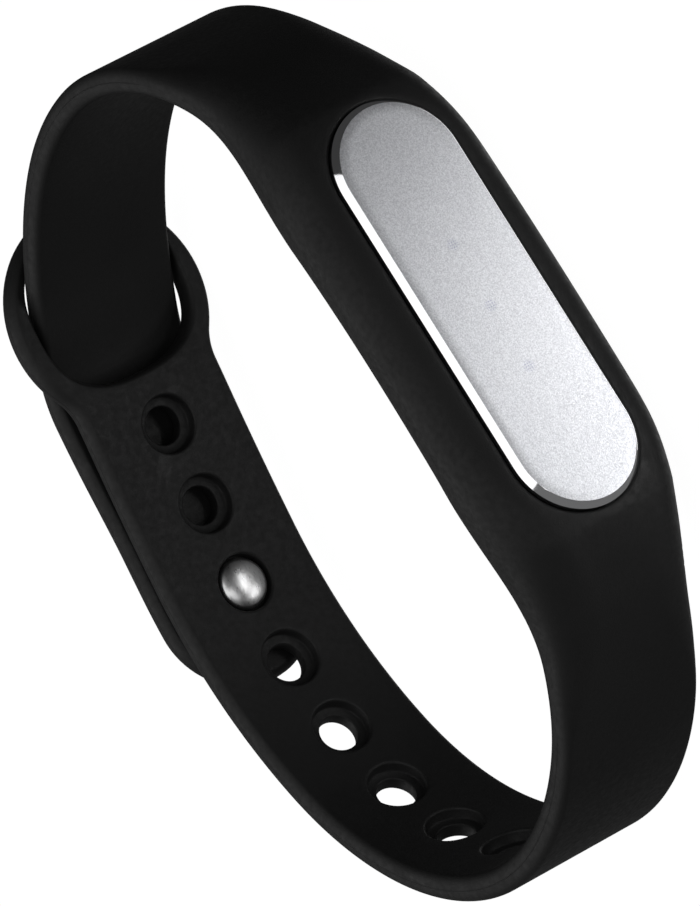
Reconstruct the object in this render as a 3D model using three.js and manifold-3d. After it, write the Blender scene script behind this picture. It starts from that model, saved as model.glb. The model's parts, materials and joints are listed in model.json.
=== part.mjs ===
// Fitness tracker band: a silicone wristband closed round its own loop, with a stud in the third hole,
// and the tracker capsule with its electronics seated in the pocket. Millimetres, +Z up.
// The band lies on its side: Z is the wrist's axis, and the tracker's face looks towards -Y.
import * as THREE from 'three';
import Module from 'manifold-3d';
import { mergeVertices } from 'three/addons/utils/BufferGeometryUtils.js';

const wasm = await Module();
wasm.setup();

// ---- capsule ----
const capsuleLength = 35.8;
const capsuleWidth = 11.6;
const capsuleBottom = -2.3;      // height of the housing's underside over the band's inner surface
const housingTop = 4.1;
const housingWall = 0.8;
const housingFloor = 0.9;
const plateMargin = 0.2;         // the plate stands back this far from the housing's sides
const plateLength = capsuleLength - 2 * plateMargin;
const plateWidth = capsuleWidth - 2 * plateMargin;
const plateThickness = 1.2;
const plateChamfer = 0.45;
const gasketThickness = 0.2;
const fitGap = 0.1;              // between pieces that lie on each other inside the capsule
const grooveDepth = 0.3;
const grooveLevel = 2.3;         // middle of the groove round the housing
const grooveHeight = 1.2;

const upperCavityWidth = 9.6;    // the board rests on the step down to the lower cavity
const boardLevel = 2.2;
const boardThickness = 0.6;
const boardClearance = 0.15;
const tapeThickness = 0.15;
const batterySize = [15.4, 7.2, 2.8];
const batteryEnd = 2.0;          // the battery's end nearest the motor, from the capsule's middle
const packBoardLength = 2.2;
const motorDiameter = 7.6;
const motorHeight = 2.7;
const motorMiddle = 11.4;        // from the capsule's middle
const motorWall = 0.25;
const motorBaseThickness = 0.3;
const shaftDiameter = 0.8;
const shaftClearance = 0.05;
const rotorClearance = 0.25;
const rotorHub = 1.8;
const lightSpacing = 5.4;         // between the three lights
const lightMiddle = -0.4;
const guideThickness = 0.5;
const leadDiameter = 0.5;
const contactSpacing = 3.2;
const contactDiameter = 1.4;
const contactMiddle = -14.2;     // from the capsule's middle
const springThickness = 0.15;

// ---- pocket ----
const pocketWidth = 17.8;
const lipHeight = 4.9;           // top of the pocket over the band's inner surface
const pocketClearance = 0.4;     // wall to housing
const ribClearance = 0.1;        // rib and lip to housing, on the way out
const ribHeight = 0.6;
const lipDepth = 0.5;
const backWindowMargin = 0.7;    // how far the floor's ledge reaches under the housing
const bellyClearance = 0.3;      // housing's belly to the opening in the floor
const seatGap = 0.2;             // housing's shoulder to the ledge
const pocketFloor = 1.0;
const pocketLowEdge = 0.9;       // rounding of the pocket's skin side
const pocketShoulderEdge = 3.2;  // and of its shoulders
const shoulderCrown = 3;         // extra rounding past the capsule's ends
const flatSide = 1.2;            // flat stretch of the pocket's side walls
const seatEnd = capsuleLength / 2 - 0.9;
const pocketFullFrom = capsuleLength / 2 - 7.4;     // the pocket keeps its full width to here
const pocketShoulder = capsuleLength / 2 - 5.9;       // and its full height to here
const strapFrom = capsuleLength / 2 + 8.1;            // strap width is reached here
const strapThinFrom = capsuleLength / 2 + 15.1;        // strap thickness is reached here

// ---- straps ----
const strapWidth = 13.5;
const strapThickness = 2.2;
const studStrapWidth = 13.5;
const studStrapThickness = 2.1;
const strapEdge = 0.6;           // rounding of the straps' long edges
const splitGap = 0.3;            // between neighbouring solids of the band
const holeStrapStep = 2.4;       // longest stretch between two sections
const studStrapStep = 2.0;
const holeCount = 8;
const holePitch = 6.95;
const holeRecess = 4.7;
const holeRecessDepth = 1.0;
const holeBore = 3.1;

// The band's inner surface as tangent arcs away from the pocket: radius, then turn in degrees.
const holeSideArcs = [[41, 13.7], [22, 41.7], [25.6, 25.2], [22.5, 77.7], [36, 30.2], [193, 3.6], [-105, -4]];
const holeSeatRadius = 186;
const holeSeat = capsuleLength / 2 - 9.4;
const studSideArcs = [[36.4, 15.3], [19.2, 72], [25.6, 20]];
const studSeatRadius = 122;
const studSeat = capsuleLength / 2 - 8.5;

// ---- loop ----
const loopRadius = pocketWidth / 2;
const firstHole = loopRadius + 1.3;    // from the loop's centre to the first hole
const firstHoleDistance = 1.5 * capsuleLength + 52.9;    // along the hole side from the pocket's middle
const loopCentre = firstHoleDistance + firstHole;
const widestFillet = 5;           // rounding between the loop and the strap, if the neck has room for it
const slotClearance = 0.4;       // beside the stud strap
const slotHalfWidth = studStrapWidth / 2 + slotClearance;
const slotHalfLength = 6.1;
const slotShift = 0.6;           // slot centre beyond the loop's centre
const slotPower = 2.6;
const loopEdge = 0.5;
const crossingAngle = 33;        // angle at which the stud strap passes through the loop
const holeMargin = 0.15;         // strap left between the first hole's recess and the loop's neck
const filletMargin = 0.1;        // straight edge left between the fillet and the neck's end

// ---- stud and tail ----
const studHole = 3;
const tailGap = 0.3;             // between the tail and the strap under it
const tailRise = 0.75;           // extra gap where the tail leaves the loop
const tailLeaves = 6.8;          // tail runs along the strap from here, before the loop's centre
const tailSettles = 12;
const tailBeyondStud = 7.1;
const tailFirstLength = 6.6;     // from the first bend to the second
const studHeadWidth = 4.15;
const studHeadHeight = 1.2;
const studHeadRise = 0.35;       // dome stands this far inside the band
const studPost = 2.3;
const studDisc = 5.0;
const studDiscThickness = 0.5;
const studClearance = 0.15;

const materialOf = {
  silicone: { color: 0x1b1b1c, roughness: 0.62, metalness: 0 },
  aluminium: { color: 0xc9cacd, roughness: 0.34, metalness: 1 },
  steel: { color: 0xb8b9bb, roughness: 0.28, metalness: 1 },
  housing: { color: 0x222326, roughness: 0.35, metalness: 0 },
  clear: { color: 0xdfe4e8, roughness: 0.2, metalness: 0 },
  board: { color: 0x17402a, roughness: 0.5, metalness: 0 },
  chip: { color: 0x1a1a1d, roughness: 0.45, metalness: 0 },
  ceramic: { color: 0xe6e2d6, roughness: 0.5, metalness: 0 },
  gold: { color: 0xd8ad55, roughness: 0.25, metalness: 1 },
  foil: { color: 0xaab0b6, roughness: 0.4, metalness: 1 },
  tape: { color: 0xd0a63c, roughness: 0.5, metalness: 0 },
  red: { color: 0xa8231d, roughness: 0.45, metalness: 0 },
  black: { color: 0x161616, roughness: 0.45, metalness: 0 },
  tungsten: { color: 0x6d6f73, roughness: 0.45, metalness: 1 },
};

// ---------------------------------------------------------------- solids

function toSolid(geometry) {
  const bare = geometry.clone();
  for (const name of Object.keys(bare.attributes)) {
    if (name !== 'position') bare.deleteAttribute(name);
  }
  const merged = mergeVertices(bare, 1e-4);
  const index = merged.index.array;
  const corners = [];
  for (let i = 0; i < index.length; i += 3) {
    const [a, b, c] = [index[i], index[i + 1], index[i + 2]];
    if (a !== b && b !== c && c !== a) corners.push(a, b, c);
  }
  const mesh = new wasm.Mesh({
    numProp: 3,
    vertProperties: new Float32Array(merged.attributes.position.array),
    triVerts: new Uint32Array(corners),
  });
  return new wasm.Manifold(mesh);
}

function toGeometry(solid) {
  const mesh = solid.getMesh();
  const geometry = new THREE.BufferGeometry();
  geometry.setAttribute('position', new THREE.BufferAttribute(new Float32Array(mesh.vertProperties), 3));
  geometry.setIndex(new THREE.BufferAttribute(new Uint32Array(mesh.triVerts), 1));
  return geometry;
}

function cut(geometry, ...tools) {
  let solid = toSolid(geometry);
  for (const tool of tools) solid = solid.subtract(toSolid(tool));
  return toGeometry(solid);
}

function join(...geometries) {
  let solid = toSolid(geometries[0]);
  for (const geometry of geometries.slice(1)) solid = solid.add(toSolid(geometry));
  return toGeometry(solid);
}

// A closed skin over equally long loops of points, with a fan on the first loop and on the last.
function loft(loops) {
  const count = loops[0].length;
  const positions = loops.flat().flatMap((p) => [p.x, p.y, p.z]);
  const index = [];
  for (let i = 0; i + 1 < loops.length; i += 1) {
    for (let j = 0; j < count; j += 1) {
      const k = (j + 1) % count;
      const [a, b] = [i * count + j, i * count + k];
      const [c, d] = [a + count, b + count];
      index.push(a, b, d, a, d, c);
    }
  }
  for (const [loop, start, flip] of [[loops[0], 0, true], [loops.at(-1), (loops.length - 1) * count, false]]) {
    const centre = loop.reduce((sum, p) => sum.add(p), new THREE.Vector3()).divideScalar(count);
    const middle = positions.length / 3;
    positions.push(centre.x, centre.y, centre.z);
    for (let j = 0; j < count; j += 1) {
      const k = (j + 1) % count;
      if (flip) index.push(middle, start + k, start + j);
      else index.push(middle, start + j, start + k);
    }
  }
  const geometry = new THREE.BufferGeometry();
  geometry.setAttribute('position', new THREE.Float32BufferAttribute(positions, 3));
  geometry.setIndex(index);
  return geometry;
}

// ---------------------------------------------------------------- paths in the ring's plane

// A path is a dense row of points; each point of a strap is found by its distance along the path.
function pathFromPoints(points) {
  const distances = [0];
  for (let i = 1; i < points.length; i += 1) {
    distances.push(distances[i - 1] + points[i].distanceTo(points[i - 1]));
  }
  return { points, distances, length: distances.at(-1) };
}

// Place on a path: the point, its outward normal and its heading. Outward is away from the wrist.
function placeOn(path, distance, offset = 0) {
  const { points, distances } = path;
  let i = distances.findIndex((d) => d >= distance);
  if (i < 1) i = distance <= 0 ? 1 : points.length - 1;
  const span = distances[i] - distances[i - 1];
  const share = (distance - distances[i - 1]) / span;
  const heading = headingAt(path, i - 1).lerp(headingAt(path, i), share).normalize();
  const normal = new THREE.Vector2(heading.y, -heading.x).multiplyScalar(path.side);
  const point = points[i - 1].clone().lerp(points[i], share).addScaledVector(normal, offset);
  return { point, normal, heading };
}

function headingAt(path, i) {
  const before = path.points[Math.max(i - 1, 0)];
  const after = path.points[Math.min(i + 1, path.points.length - 1)];
  return after.clone().sub(before).normalize();
}

// Tangent arcs that start at the pocket's middle and bend round the wrist. side is +1 towards +X.
function arcPoints(arcs, side, straightEnd) {
  const points = [new THREE.Vector2(0, 0)];
  const step = 0.5;
  let turn = 0;
  for (const [radius, angle] of arcs) {
    const steps = Math.max(Math.round((radius * angle) / step), 2);
    const from = points.at(-1).clone();
    const inwards = new THREE.Vector2(-side * Math.sin(turn), Math.cos(turn));
    const centre = from.clone().add(inwards.multiplyScalar(radius));
    for (let i = 1; i <= steps; i += 1) {
      const here = turn + (angle * i) / steps;
      points.push(new THREE.Vector2(side * Math.sin(here), -Math.cos(here)).multiplyScalar(radius).add(centre));
    }
    turn += angle;
  }
  const end = points.at(-1);
  const heading = new THREE.Vector2(side * Math.cos(turn), Math.sin(turn));
  const steps = Math.round(straightEnd / step);
  for (let i = 1; i <= steps; i += 1) {
    points.push(end.clone().addScaledVector(heading, (straightEnd * i) / steps));
  }
  return points;
}

function seatedArcs(seatRadius, seatLength, arcs) {
  const turned = arcs.map(([radius, degrees]) => [radius, THREE.MathUtils.degToRad(degrees)]);
  return [[seatRadius, seatLength / seatRadius], ...turned];
}

// Hole side: from the pocket round to the loop, straight at its end.
const holeArcs = seatedArcs(holeSeatRadius, holeSeat, holeSideArcs);
const holeArcsLength = holeArcs.reduce((sum, [radius, angle]) => sum + radius * angle, 0);
const holePath = pathFromPoints(arcPoints(holeArcs, -1, loopCentre + 14 - holeArcsLength));
holePath.side = -1;

// Stud side: from the pocket to the loop, through its slot, and back along the outside of the hole side.
function bendBetween(start, startHeading, end, endHeading) {
  const reach = start.distanceTo(end) / 3;
  const curve = new THREE.CubicBezierCurve(
    start,
    start.clone().addScaledVector(startHeading, reach),
    end.clone().addScaledVector(endHeading, -reach),
    end,
  );
  return curve.getSpacedPoints(Math.ceil(curve.getLength() / 0.5)).slice(1);
}

const slotMiddle = loopCentre + slotShift;
const tailStart = loopCentre - tailLeaves;
const studDistance = loopCentre - firstHole - (studHole - 1) * holePitch;
const tailEnd = studDistance - tailBeyondStud;

function tailOffset(distance) {
  const settled = THREE.MathUtils.smoothstep(tailStart - distance, 0, tailSettles);
  return strapThickness + tailGap + tailRise * (1 - settled);
}

function studPathPoints() {
  const points = arcPoints(seatedArcs(studSeatRadius, studSeat, studSideArcs), 1, 0);
  const arcsEnd = points.at(-1);
  const arcsHeading = arcsEnd.clone().sub(points.at(-2)).normalize();
  const crossing = placeOn(holePath, slotMiddle, (strapThickness - studStrapThickness) / 2);
  const crossingHeading = crossing.heading.clone().negate();
  crossingHeading.rotateAround(new THREE.Vector2(), THREE.MathUtils.degToRad(-crossingAngle));
  const exit = placeOn(holePath, tailStart, tailOffset(tailStart));
  points.push(...bendBetween(arcsEnd, arcsHeading, crossing.point, crossingHeading));
  points.push(...bendBetween(crossing.point, crossingHeading, exit.point, exit.heading.clone().negate()));
  return points;
}

const studPoints = studPathPoints();
const strapLengthToTail = pathFromPoints(studPoints).length;
for (let d = tailStart - 0.5; d > tailEnd; d -= 0.5) {
  studPoints.push(placeOn(holePath, d, tailOffset(d)).point);
}
studPoints.push(placeOn(holePath, tailEnd, tailOffset(tailEnd)).point);
const studPath = pathFromPoints(studPoints);
studPath.side = 1;

// ---------------------------------------------------------------- the band's section

// Half of the section's outline is a run of two rounded corners; the other half mirrors it.
function bandSection({ width, height, lowEdge, lowRise, flat, highEdge }) {
  const half = width / 2;
  const low = [];
  const high = [];
  const lowSteps = 3;
  const highSteps = 5;
  for (let i = 0; i <= lowSteps; i += 1) {
    const t = (Math.PI / 2) * (i / lowSteps);
    low.push([half - lowEdge + lowEdge * Math.sin(t), lowRise - lowRise * Math.cos(t)]);
  }
  const highRise = height - lowRise - flat;
  for (let i = 0; i <= highSteps; i += 1) {
    const t = (Math.PI / 2) * (i / highSteps);
    high.push([half - highEdge + highEdge * Math.cos(t), lowRise + flat + highRise * Math.sin(t)]);
  }
  const right = [...low, ...high];
  const left = right.map(([across, out]) => [-across, out]).reverse();
  return [...right, ...left];
}

// Everything that changes between the pocket and the strap, by distance from the pocket's middle.
function sectionAt(path, distance, strap) {
  const thickness = path.side < 0 ? strapThickness : studStrapThickness;
  const narrowing = THREE.MathUtils.smoothstep(distance, pocketFullFrom, strapFrom);
  const thinning = THREE.MathUtils.smoothstep(distance, pocketShoulder, strapThinFrom);
  const { point, normal } = placeOn(path, Math.min(distance, seatEnd));
  const pocketHeight = (lipHeight + point.y) / -normal.y;
  const crown = shoulderCrown * 4 * thinning * (1 - thinning);
  const mix = THREE.MathUtils.lerp;
  return bandSection({
    width: mix(pocketWidth, strap, narrowing),
    height: mix(pocketHeight, thickness, thinning),
    lowEdge: mix(pocketLowEdge, strapEdge, narrowing),
    lowRise: mix(pocketLowEdge, thickness / 2 - 0.1, thinning),
    flat: mix(flatSide, 0.2, thinning),
    highEdge: mix(pocketShoulderEdge, strapEdge, narrowing) + crown,
  });
}

function placedLoop(place, section) {
  return section.map(([across, out]) => {
    const p = place.point.clone().addScaledVector(place.normal, out);
    return new THREE.Vector3(p.x, p.y, across);
  });
}

function stations(from, to, step) {
  const count = Math.max(Math.ceil(Math.abs(to - from) / step), 1);
  return Array.from({ length: count + 1 }, (_, i) => from + ((to - from) * i) / count);
}

// Strap between two distances. tip rounds the far end off in plan over half a width.
function strapGeometry(path, from, to, step, width, tip = false) {
  let distances = stations(from, to, step);
  if (tip) {
    const radius = width / 2;
    const round = stations(0, Math.PI / 2 - 0.12, 0.2).map((t) => to - radius + radius * Math.sin(t));
    distances = [...stations(from, to - radius, step).slice(0, -1), ...round];
  }
  const loops = distances.map((distance) => {
    const plan = tip ? Math.max(distance - (to - width / 2), 0) : 0;
    const here = tip ? 2 * Math.sqrt((width / 2) ** 2 - plan ** 2) : width;
    return placedLoop(placeOn(path, distance), sectionAt(path, distance, here));
  });
  return loft(path.side > 0 ? loops : loops.reverse());
}

// A tool or piece built along its own Z axis, set on a path so that Z points away from the wrist.
function outwardAt(place, geometry, lift = 0) {
  const axes = new THREE.Matrix4().makeBasis(
    new THREE.Vector3(place.normal.y, -place.normal.x, 0),
    new THREE.Vector3(0, 0, -1),
    new THREE.Vector3(place.normal.x, place.normal.y, 0),
  );
  const p = place.point.clone().addScaledVector(place.normal, lift);
  return geometry.clone().applyMatrix4(axes.setPosition(p.x, p.y, 0));
}

// Bends a flat piece, drawn with X along the strap and Z outwards, round a path.
function wrapOn(path, distance, geometry) {
  const wrapped = geometry.clone();
  const position = wrapped.attributes.position;
  for (let i = 0; i < position.count; i += 1) {
    const { point } = placeOn(path, distance + position.getX(i), position.getZ(i));
    position.setXYZ(i, point.x, point.y, path.side * position.getY(i));
  }
  return wrapped;
}

function disc(diameter, from, to, sides = 24) {
  const geometry = new THREE.CylinderGeometry(diameter / 2, diameter / 2, to - from, sides);
  return geometry.rotateX(Math.PI / 2).translate(0, 0, (from + to) / 2);
}

// ---------------------------------------------------------------- rounded outlines for the capsule

function stadiumLoop(length, width, height, steps = 12) {
  const radius = width / 2;
  const reach = length / 2 - radius;
  const loop = [];
  for (const end of [1, -1]) {
    for (let i = 0; i <= steps; i += 1) {
      const t = -Math.PI / 2 + (Math.PI * i) / steps;
      loop.push(new THREE.Vector3(end * (reach + radius * Math.cos(t)), end * radius * Math.sin(t), height));
    }
  }
  return loop;
}

// Solid with a stadium plan: each level is [height, inset from the full plan].
function stadiumSolid(length, width, levels) {
  return loft(levels.map(([height, inset]) => stadiumLoop(length - 2 * inset, width - 2 * inset, height)));
}

function box(size, centre) {
  return new THREE.BoxGeometry(...size).translate(...centre);
}

// ---------------------------------------------------------------- assembly helpers

const band = new THREE.Group();
const capsule = new THREE.Group();
capsule.rotation.x = Math.PI / 2;    // capsule pieces are drawn face up: their Z is the tracker's outward way

function addPiece(group, name, geometry, look) {
  const flat = geometry.index ? geometry.toNonIndexed() : geometry;
  flat.computeVertexNormals();
  const mesh = new THREE.Mesh(flat, new THREE.MeshStandardMaterial(materialOf[look]));
  mesh.name = name;
  group.add(mesh);
  return mesh;
}

// ---------------------------------------------------------------- the band

const pocketEnd = strapThinFrom + 1;

function pocketGeometry() {
  const side = (path) => stations(0, pocketEnd, 2.2).map(
    (distance) => placedLoop(placeOn(path, distance), sectionAt(path, distance, strapWidth)),
  );
  const body = loft([...side(holePath).reverse(), ...side(studPath).slice(1)]);
  const wall = pocketClearance;
  const opening = stadiumSolid(capsuleLength + 2 * wall, capsuleWidth + 2 * wall, [
    [pocketFloor, 0], [grooveLevel - ribHeight / 2, 0], [grooveLevel - ribHeight / 4, wall - ribClearance],
    [grooveLevel + ribHeight / 4, wall - ribClearance], [grooveLevel + ribHeight / 2, 0],
    [housingTop - lipDepth, 0], [housingTop - lipDepth / 2, wall - ribClearance],
    [lipHeight + 1, wall - ribClearance],
  ]).rotateX(Math.PI / 2);
  const window = stadiumSolid(capsuleLength - 2 * backWindowMargin, capsuleWidth - 2 * backWindowMargin, [
    [capsuleBottom - 3, 0], [pocketFloor + 0.5, 0],
  ]).rotateX(Math.PI / 2);
  return cut(body, opening, window);
}

const neckLength = firstHole - holeRecess / 2 - holeMargin - splitGap;

function loopGeometry() {
  const outline = new THREE.Shape();
  const half = strapWidth / 2;
  const filletReach = neckLength - filletMargin;
  const roomForFillet = (filletReach ** 2 - loopRadius ** 2 + half ** 2) / (2 * (loopRadius - half));
  const loopFillet = Math.min(widestFillet, roomForFillet);
  const filletMiddle = -Math.sqrt((loopRadius + loopFillet) ** 2 - (half + loopFillet) ** 2);
  const meet = Math.atan2(half + loopFillet, filletMiddle);
  outline.moveTo(-neckLength, -half);
  outline.lineTo(filletMiddle, -half);
  outline.absarc(filletMiddle, -half - loopFillet, loopFillet, Math.PI / 2, Math.PI - meet, true);
  outline.absarc(0, 0, loopRadius, -meet, meet, false);
  outline.absarc(filletMiddle, half + loopFillet, loopFillet, meet - Math.PI, -Math.PI / 2, true);
  outline.lineTo(-neckLength, half);
  const slot = [];
  const slotSides = 36;
  for (let i = 0; i < slotSides; i += 1) {
    const t = (2 * Math.PI * i) / slotSides;
    const round = (v) => Math.sign(v) * Math.abs(v) ** (2 / slotPower);
    const along = slotHalfLength * round(Math.cos(t));
    slot.push(new THREE.Vector2(slotShift + along, slotHalfWidth * round(Math.sin(t))));
  }
  outline.holes.push(new THREE.Path(slot));
  const plate = new THREE.ExtrudeGeometry(outline, {
    depth: strapThickness - 2 * loopEdge,
    bevelThickness: loopEdge,
    bevelSize: loopEdge,
    bevelOffset: -loopEdge,
    bevelSegments: 2,
    curveSegments: 10,
  }).translate(0, 0, loopEdge);
  return wrapOn(holePath, loopCentre, plate);
}

function holeStrapGeometry() {
  const strapEnd = loopCentre - neckLength - splitGap;
  const strap = strapGeometry(holePath, pocketEnd + splitGap, strapEnd, holeStrapStep, strapWidth);
  const tools = [];
  for (let i = 0; i < holeCount; i += 1) {
    const place = placeOn(holePath, loopCentre - firstHole - i * holePitch);
    tools.push(outwardAt(place, disc(holeRecess, -1, holeRecessDepth)));
    tools.push(outwardAt(place, disc(holeBore, -1, strapThickness + 1, 20)));
  }
  return cut(strap, ...tools);
}

addPiece(band, 'pocket_frame', pocketGeometry(), 'silicone');
addPiece(band, 'hole_strap', holeStrapGeometry(), 'silicone');
addPiece(band, 'strap_loop', loopGeometry(), 'silicone');

// The stud side bends at two places after the loop: there the tail can be peeled off the strap.
const firstBend = strapLengthToTail + 0.4;
const secondBend = firstBend + tailFirstLength;
const strapStart = pocketEnd + splitGap;
const tailRootEnd = secondBend - splitGap / 2;

addPiece(
  band,
  'stud_strap',
  strapGeometry(studPath, strapStart, firstBend - splitGap / 2, studStrapStep, studStrapWidth),
  'silicone',
);
addPiece(
  band,
  'tail_root',
  strapGeometry(studPath, firstBend + splitGap / 2, tailRootEnd, studStrapStep, studStrapWidth),
  'silicone',
);

const studPlace = placeOn(holePath, studDistance);
const tailInside = tailOffset(studDistance);
const tailOutside = tailInside + studStrapThickness;
const discSeat = tailOutside - studDiscThickness - 0.1;

function tailTipGeometry() {
  const start = secondBend + splitGap / 2;
  const strap = strapGeometry(studPath, start, studPath.length, studStrapStep, studStrapWidth, true);
  const bore = outwardAt(studPlace, disc(studPost + 2 * studClearance, tailInside - 2, tailOutside + 2));
  const seat = outwardAt(studPlace, disc(studDisc + 2 * studClearance, discSeat, tailOutside + 2, 32));
  return cut(strap, bore, seat);
}

function studBaseGeometry() {
  const headBack = studHeadHeight - studHeadRise;
  const postEnd = headBack - 0.5 * studHeadHeight;
  const under = discSeat + studClearance;
  const top = under + studDiscThickness;
  const edge = 0.15;
  const profile = [
    [0, postEnd], [studPost / 2, postEnd], [studPost / 2, under], [studDisc / 2, under],
    [studDisc / 2, top - edge], [studDisc / 2 - edge, top], [0, top],
  ].map(([r, z]) => new THREE.Vector2(r, z));
  return outwardAt(studPlace, new THREE.LatheGeometry(profile, 32).rotateX(Math.PI / 2));
}

function studCapGeometry() {
  const headBack = studHeadHeight - studHeadRise;
  const radius = studHeadWidth / 2;
  const socket = studPost / 2 + 0.05;
  const socketEnd = headBack - 0.5 * studHeadHeight - 0.1;
  const rim = 0.35;
  const profile = [[0, socketEnd], [socket, socketEnd], [socket, headBack], [radius - 0.1, headBack]];
  profile.push([radius, headBack - 0.1], [radius, headBack - rim]);
  const domeSteps = 6;
  for (let i = 1; i <= domeSteps; i += 1) {
    const t = (Math.PI / 2) * (i / domeSteps);
    profile.push([radius * Math.cos(t), headBack - rim - (studHeadHeight - rim) * Math.sin(t)]);
  }
  profile.at(-1)[0] = 0;
  const points = profile.reverse().map(([r, z]) => new THREE.Vector2(r, z));
  return outwardAt(studPlace, new THREE.LatheGeometry(points, 32).rotateX(Math.PI / 2));
}

addPiece(band, 'tail_tip', tailTipGeometry(), 'silicone');
addPiece(band, 'stud_base', studBaseGeometry(), 'aluminium');
addPiece(band, 'stud_cap', studCapGeometry(), 'aluminium');

// ---------------------------------------------------------------- the capsule

const innerLength = capsuleLength - 2 * housingWall;
const floorLevel = capsuleBottom + housingFloor;
const motorFloor = floorLevel + fitGap;
const boardTop = boardLevel + boardThickness;
const plateBottom = housingTop + gasketThickness + 2 * fitGap;
const plateTop = plateBottom + plateThickness;
const belly = backWindowMargin + bellyClearance;
const contactYs = [contactSpacing / 2, -contactSpacing / 2];

function housingGeometry() {
  const low = grooveLevel - grooveHeight / 2;
  const high = grooveLevel + grooveHeight / 2;
  const seat = pocketFloor + seatGap;
  const body = stadiumSolid(capsuleLength, capsuleWidth, [
    [capsuleBottom, belly + 1.8], [capsuleBottom + 0.2, belly + 0.9], [capsuleBottom + 0.8, belly + 0.25],
    [capsuleBottom + 1.7, belly], [seat, belly], [seat, 0],
    [low, 0], [low + grooveDepth, grooveDepth], [high - grooveDepth, grooveDepth], [high, 0],
    [housingTop - 0.3, 0], [housingTop, 0.2],
  ]);
  const lower = stadiumSolid(innerLength - 2 * belly, capsuleWidth - 2 * housingWall - 2 * belly, [
    [floorLevel, 0], [boardLevel, 0],
  ]);
  const upper = stadiumSolid(innerLength, upperCavityWidth, [[boardLevel - fitGap, 0], [housingTop + 1, 0]]);
  const pinHoles = contactYs.map((y) => disc(
    contactDiameter + 2 * fitGap, capsuleBottom - 1, floorLevel + 1, 20,
  ).translate(contactMiddle, y, 0));
  return cut(body, lower, upper, ...pinHoles);
}

function plateGeometry() {
  return stadiumSolid(plateLength, plateWidth, [
    [plateBottom, 0], [plateTop - plateChamfer, 0], [plateTop, plateChamfer],
  ]);
}

function gasketGeometry() {
  const level = housingTop + fitGap;
  const ring = stadiumSolid(plateLength - 0.4, plateWidth - 0.4, [[level, 0], [level + gasketThickness, 0]]);
  return cut(ring, stadiumSolid(innerLength, upperCavityWidth, [[level - 1, 0], [level + 1, 0]]));
}

function lightX(i) {
  return lightMiddle + (i - 1) * lightSpacing;
}

const lightHeight = 0.5;

// A bar under the plate with a foot over each light.
function lightGuideGeometry() {
  const top = plateBottom - fitGap;
  const bar = box([3 * lightSpacing, 1.8, guideThickness], [lightMiddle, 0, top - guideThickness / 2]);
  const footEnd = boardTop + fitGap + lightHeight + fitGap;
  const footHeight = top - guideThickness / 2 - footEnd;
  const feet = [0, 1, 2].map((i) => disc(1.3, footEnd, footEnd + footHeight, 16).translate(lightX(i), 0, 0));
  return join(bar, ...feet);
}

function boardGeometry() {
  const board = stadiumSolid(innerLength - 2 * boardClearance, upperCavityWidth - 2 * boardClearance, [
    [boardLevel, 0], [boardTop, 0],
  ]);
  const notch = (x, y) => disc(0.9, boardLevel - 1, boardTop + 1, 12).translate(x, y, 0);
  return cut(board, notch(innerLength / 2 - 2.2, 2.6), notch(innerLength / 2 - 2.2, -2.6));
}

// Electronic parts on the board's upper side: name, length, width, height, place along, place across, look.
const boardParts = [
  ['bluetooth_chip', 5.0, 4.0, 0.9, -9.6, 1.6, 'chip'],
  ['flash_memory', 3.0, 2.0, 0.6, -12.6, -2.2, 'chip'],
  ['crystal', 2.5, 2.0, 0.6, -8.6, -2.7, 'foil'],
  ['accelerometer', 2.0, 2.0, 0.9, 9.6, 2.2, 'chip'],
  ['charger_chip', 2.0, 2.0, 0.7, 9.6, -2.2, 'chip'],
  ['antenna', 3.2, 1.6, 0.8, 13.4, 0, 'ceramic'],
];

const underBoard = boardLevel - fitGap;
const batteryStart = batteryEnd - batterySize[0];
const batteryFloor = motorFloor + tapeThickness + fitGap;
const packBoardStart = batteryEnd + fitGap;

// Insulated wire along hand-set points, eight-sided.
function leadGeometry(points) {
  const curve = new THREE.CatmullRomCurve3(points.map((p) => new THREE.Vector3(...p)));
  const section = new THREE.Shape();
  section.absarc(0, 0, leadDiameter / 2, 0, 2 * Math.PI);
  return new THREE.ExtrudeGeometry(section, { extrudePath: curve, steps: 8, curveSegments: 4 });
}

const motorTop = motorFloor + motorHeight;
const rotorBottom = motorFloor + motorBaseThickness + rotorClearance;
const rotorTop = motorTop - motorWall - rotorClearance;
const rotorRadius = motorDiameter / 2 - motorWall - rotorClearance;

function motorCaseGeometry() {
  const outer = disc(motorDiameter, motorFloor, motorTop, 32);
  const hollow = disc(motorDiameter - 2 * motorWall, motorFloor - 1, motorTop - motorWall, 32);
  return cut(outer, hollow).translate(motorMiddle, 0, 0);
}

// Half-round weight with a hub, hanging below the shaft when the band lies on its side.
function rotorGeometry() {
  const hub = disc(rotorHub, rotorBottom, rotorTop, 20);
  const weight = cut(
    disc(2 * rotorRadius, rotorBottom, rotorTop, 32),
    box([2 * rotorRadius + 1, rotorRadius + 1, 10], [0, (rotorRadius + 1) / 2, 0]),
  );
  const bore = disc(shaftDiameter + 2 * shaftClearance, rotorBottom - 1, rotorTop + 1, 20);
  return cut(join(hub, weight), bore).translate(motorMiddle, 0, 0);
}

addPiece(capsule, 'housing', housingGeometry(), 'housing');
addPiece(capsule, 'face_plate', plateGeometry(), 'aluminium');
addPiece(capsule, 'plate_gasket', gasketGeometry(), 'tape');
addPiece(capsule, 'light_guide', lightGuideGeometry(), 'clear');
addPiece(capsule, 'circuit_board', boardGeometry(), 'board');
for (let i = 0; i < 3; i += 1) {
  const level = boardTop + fitGap + lightHeight / 2;
  addPiece(capsule, `led_${i + 1}`, box([1.6, 0.8, lightHeight], [lightX(i), 0, level]), 'clear');
}
for (const [name, length, width, height, x, y, look] of boardParts) {
  addPiece(capsule, name, box([length, width, height], [x, y, boardTop + fitGap + height / 2]), look);
}

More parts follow.
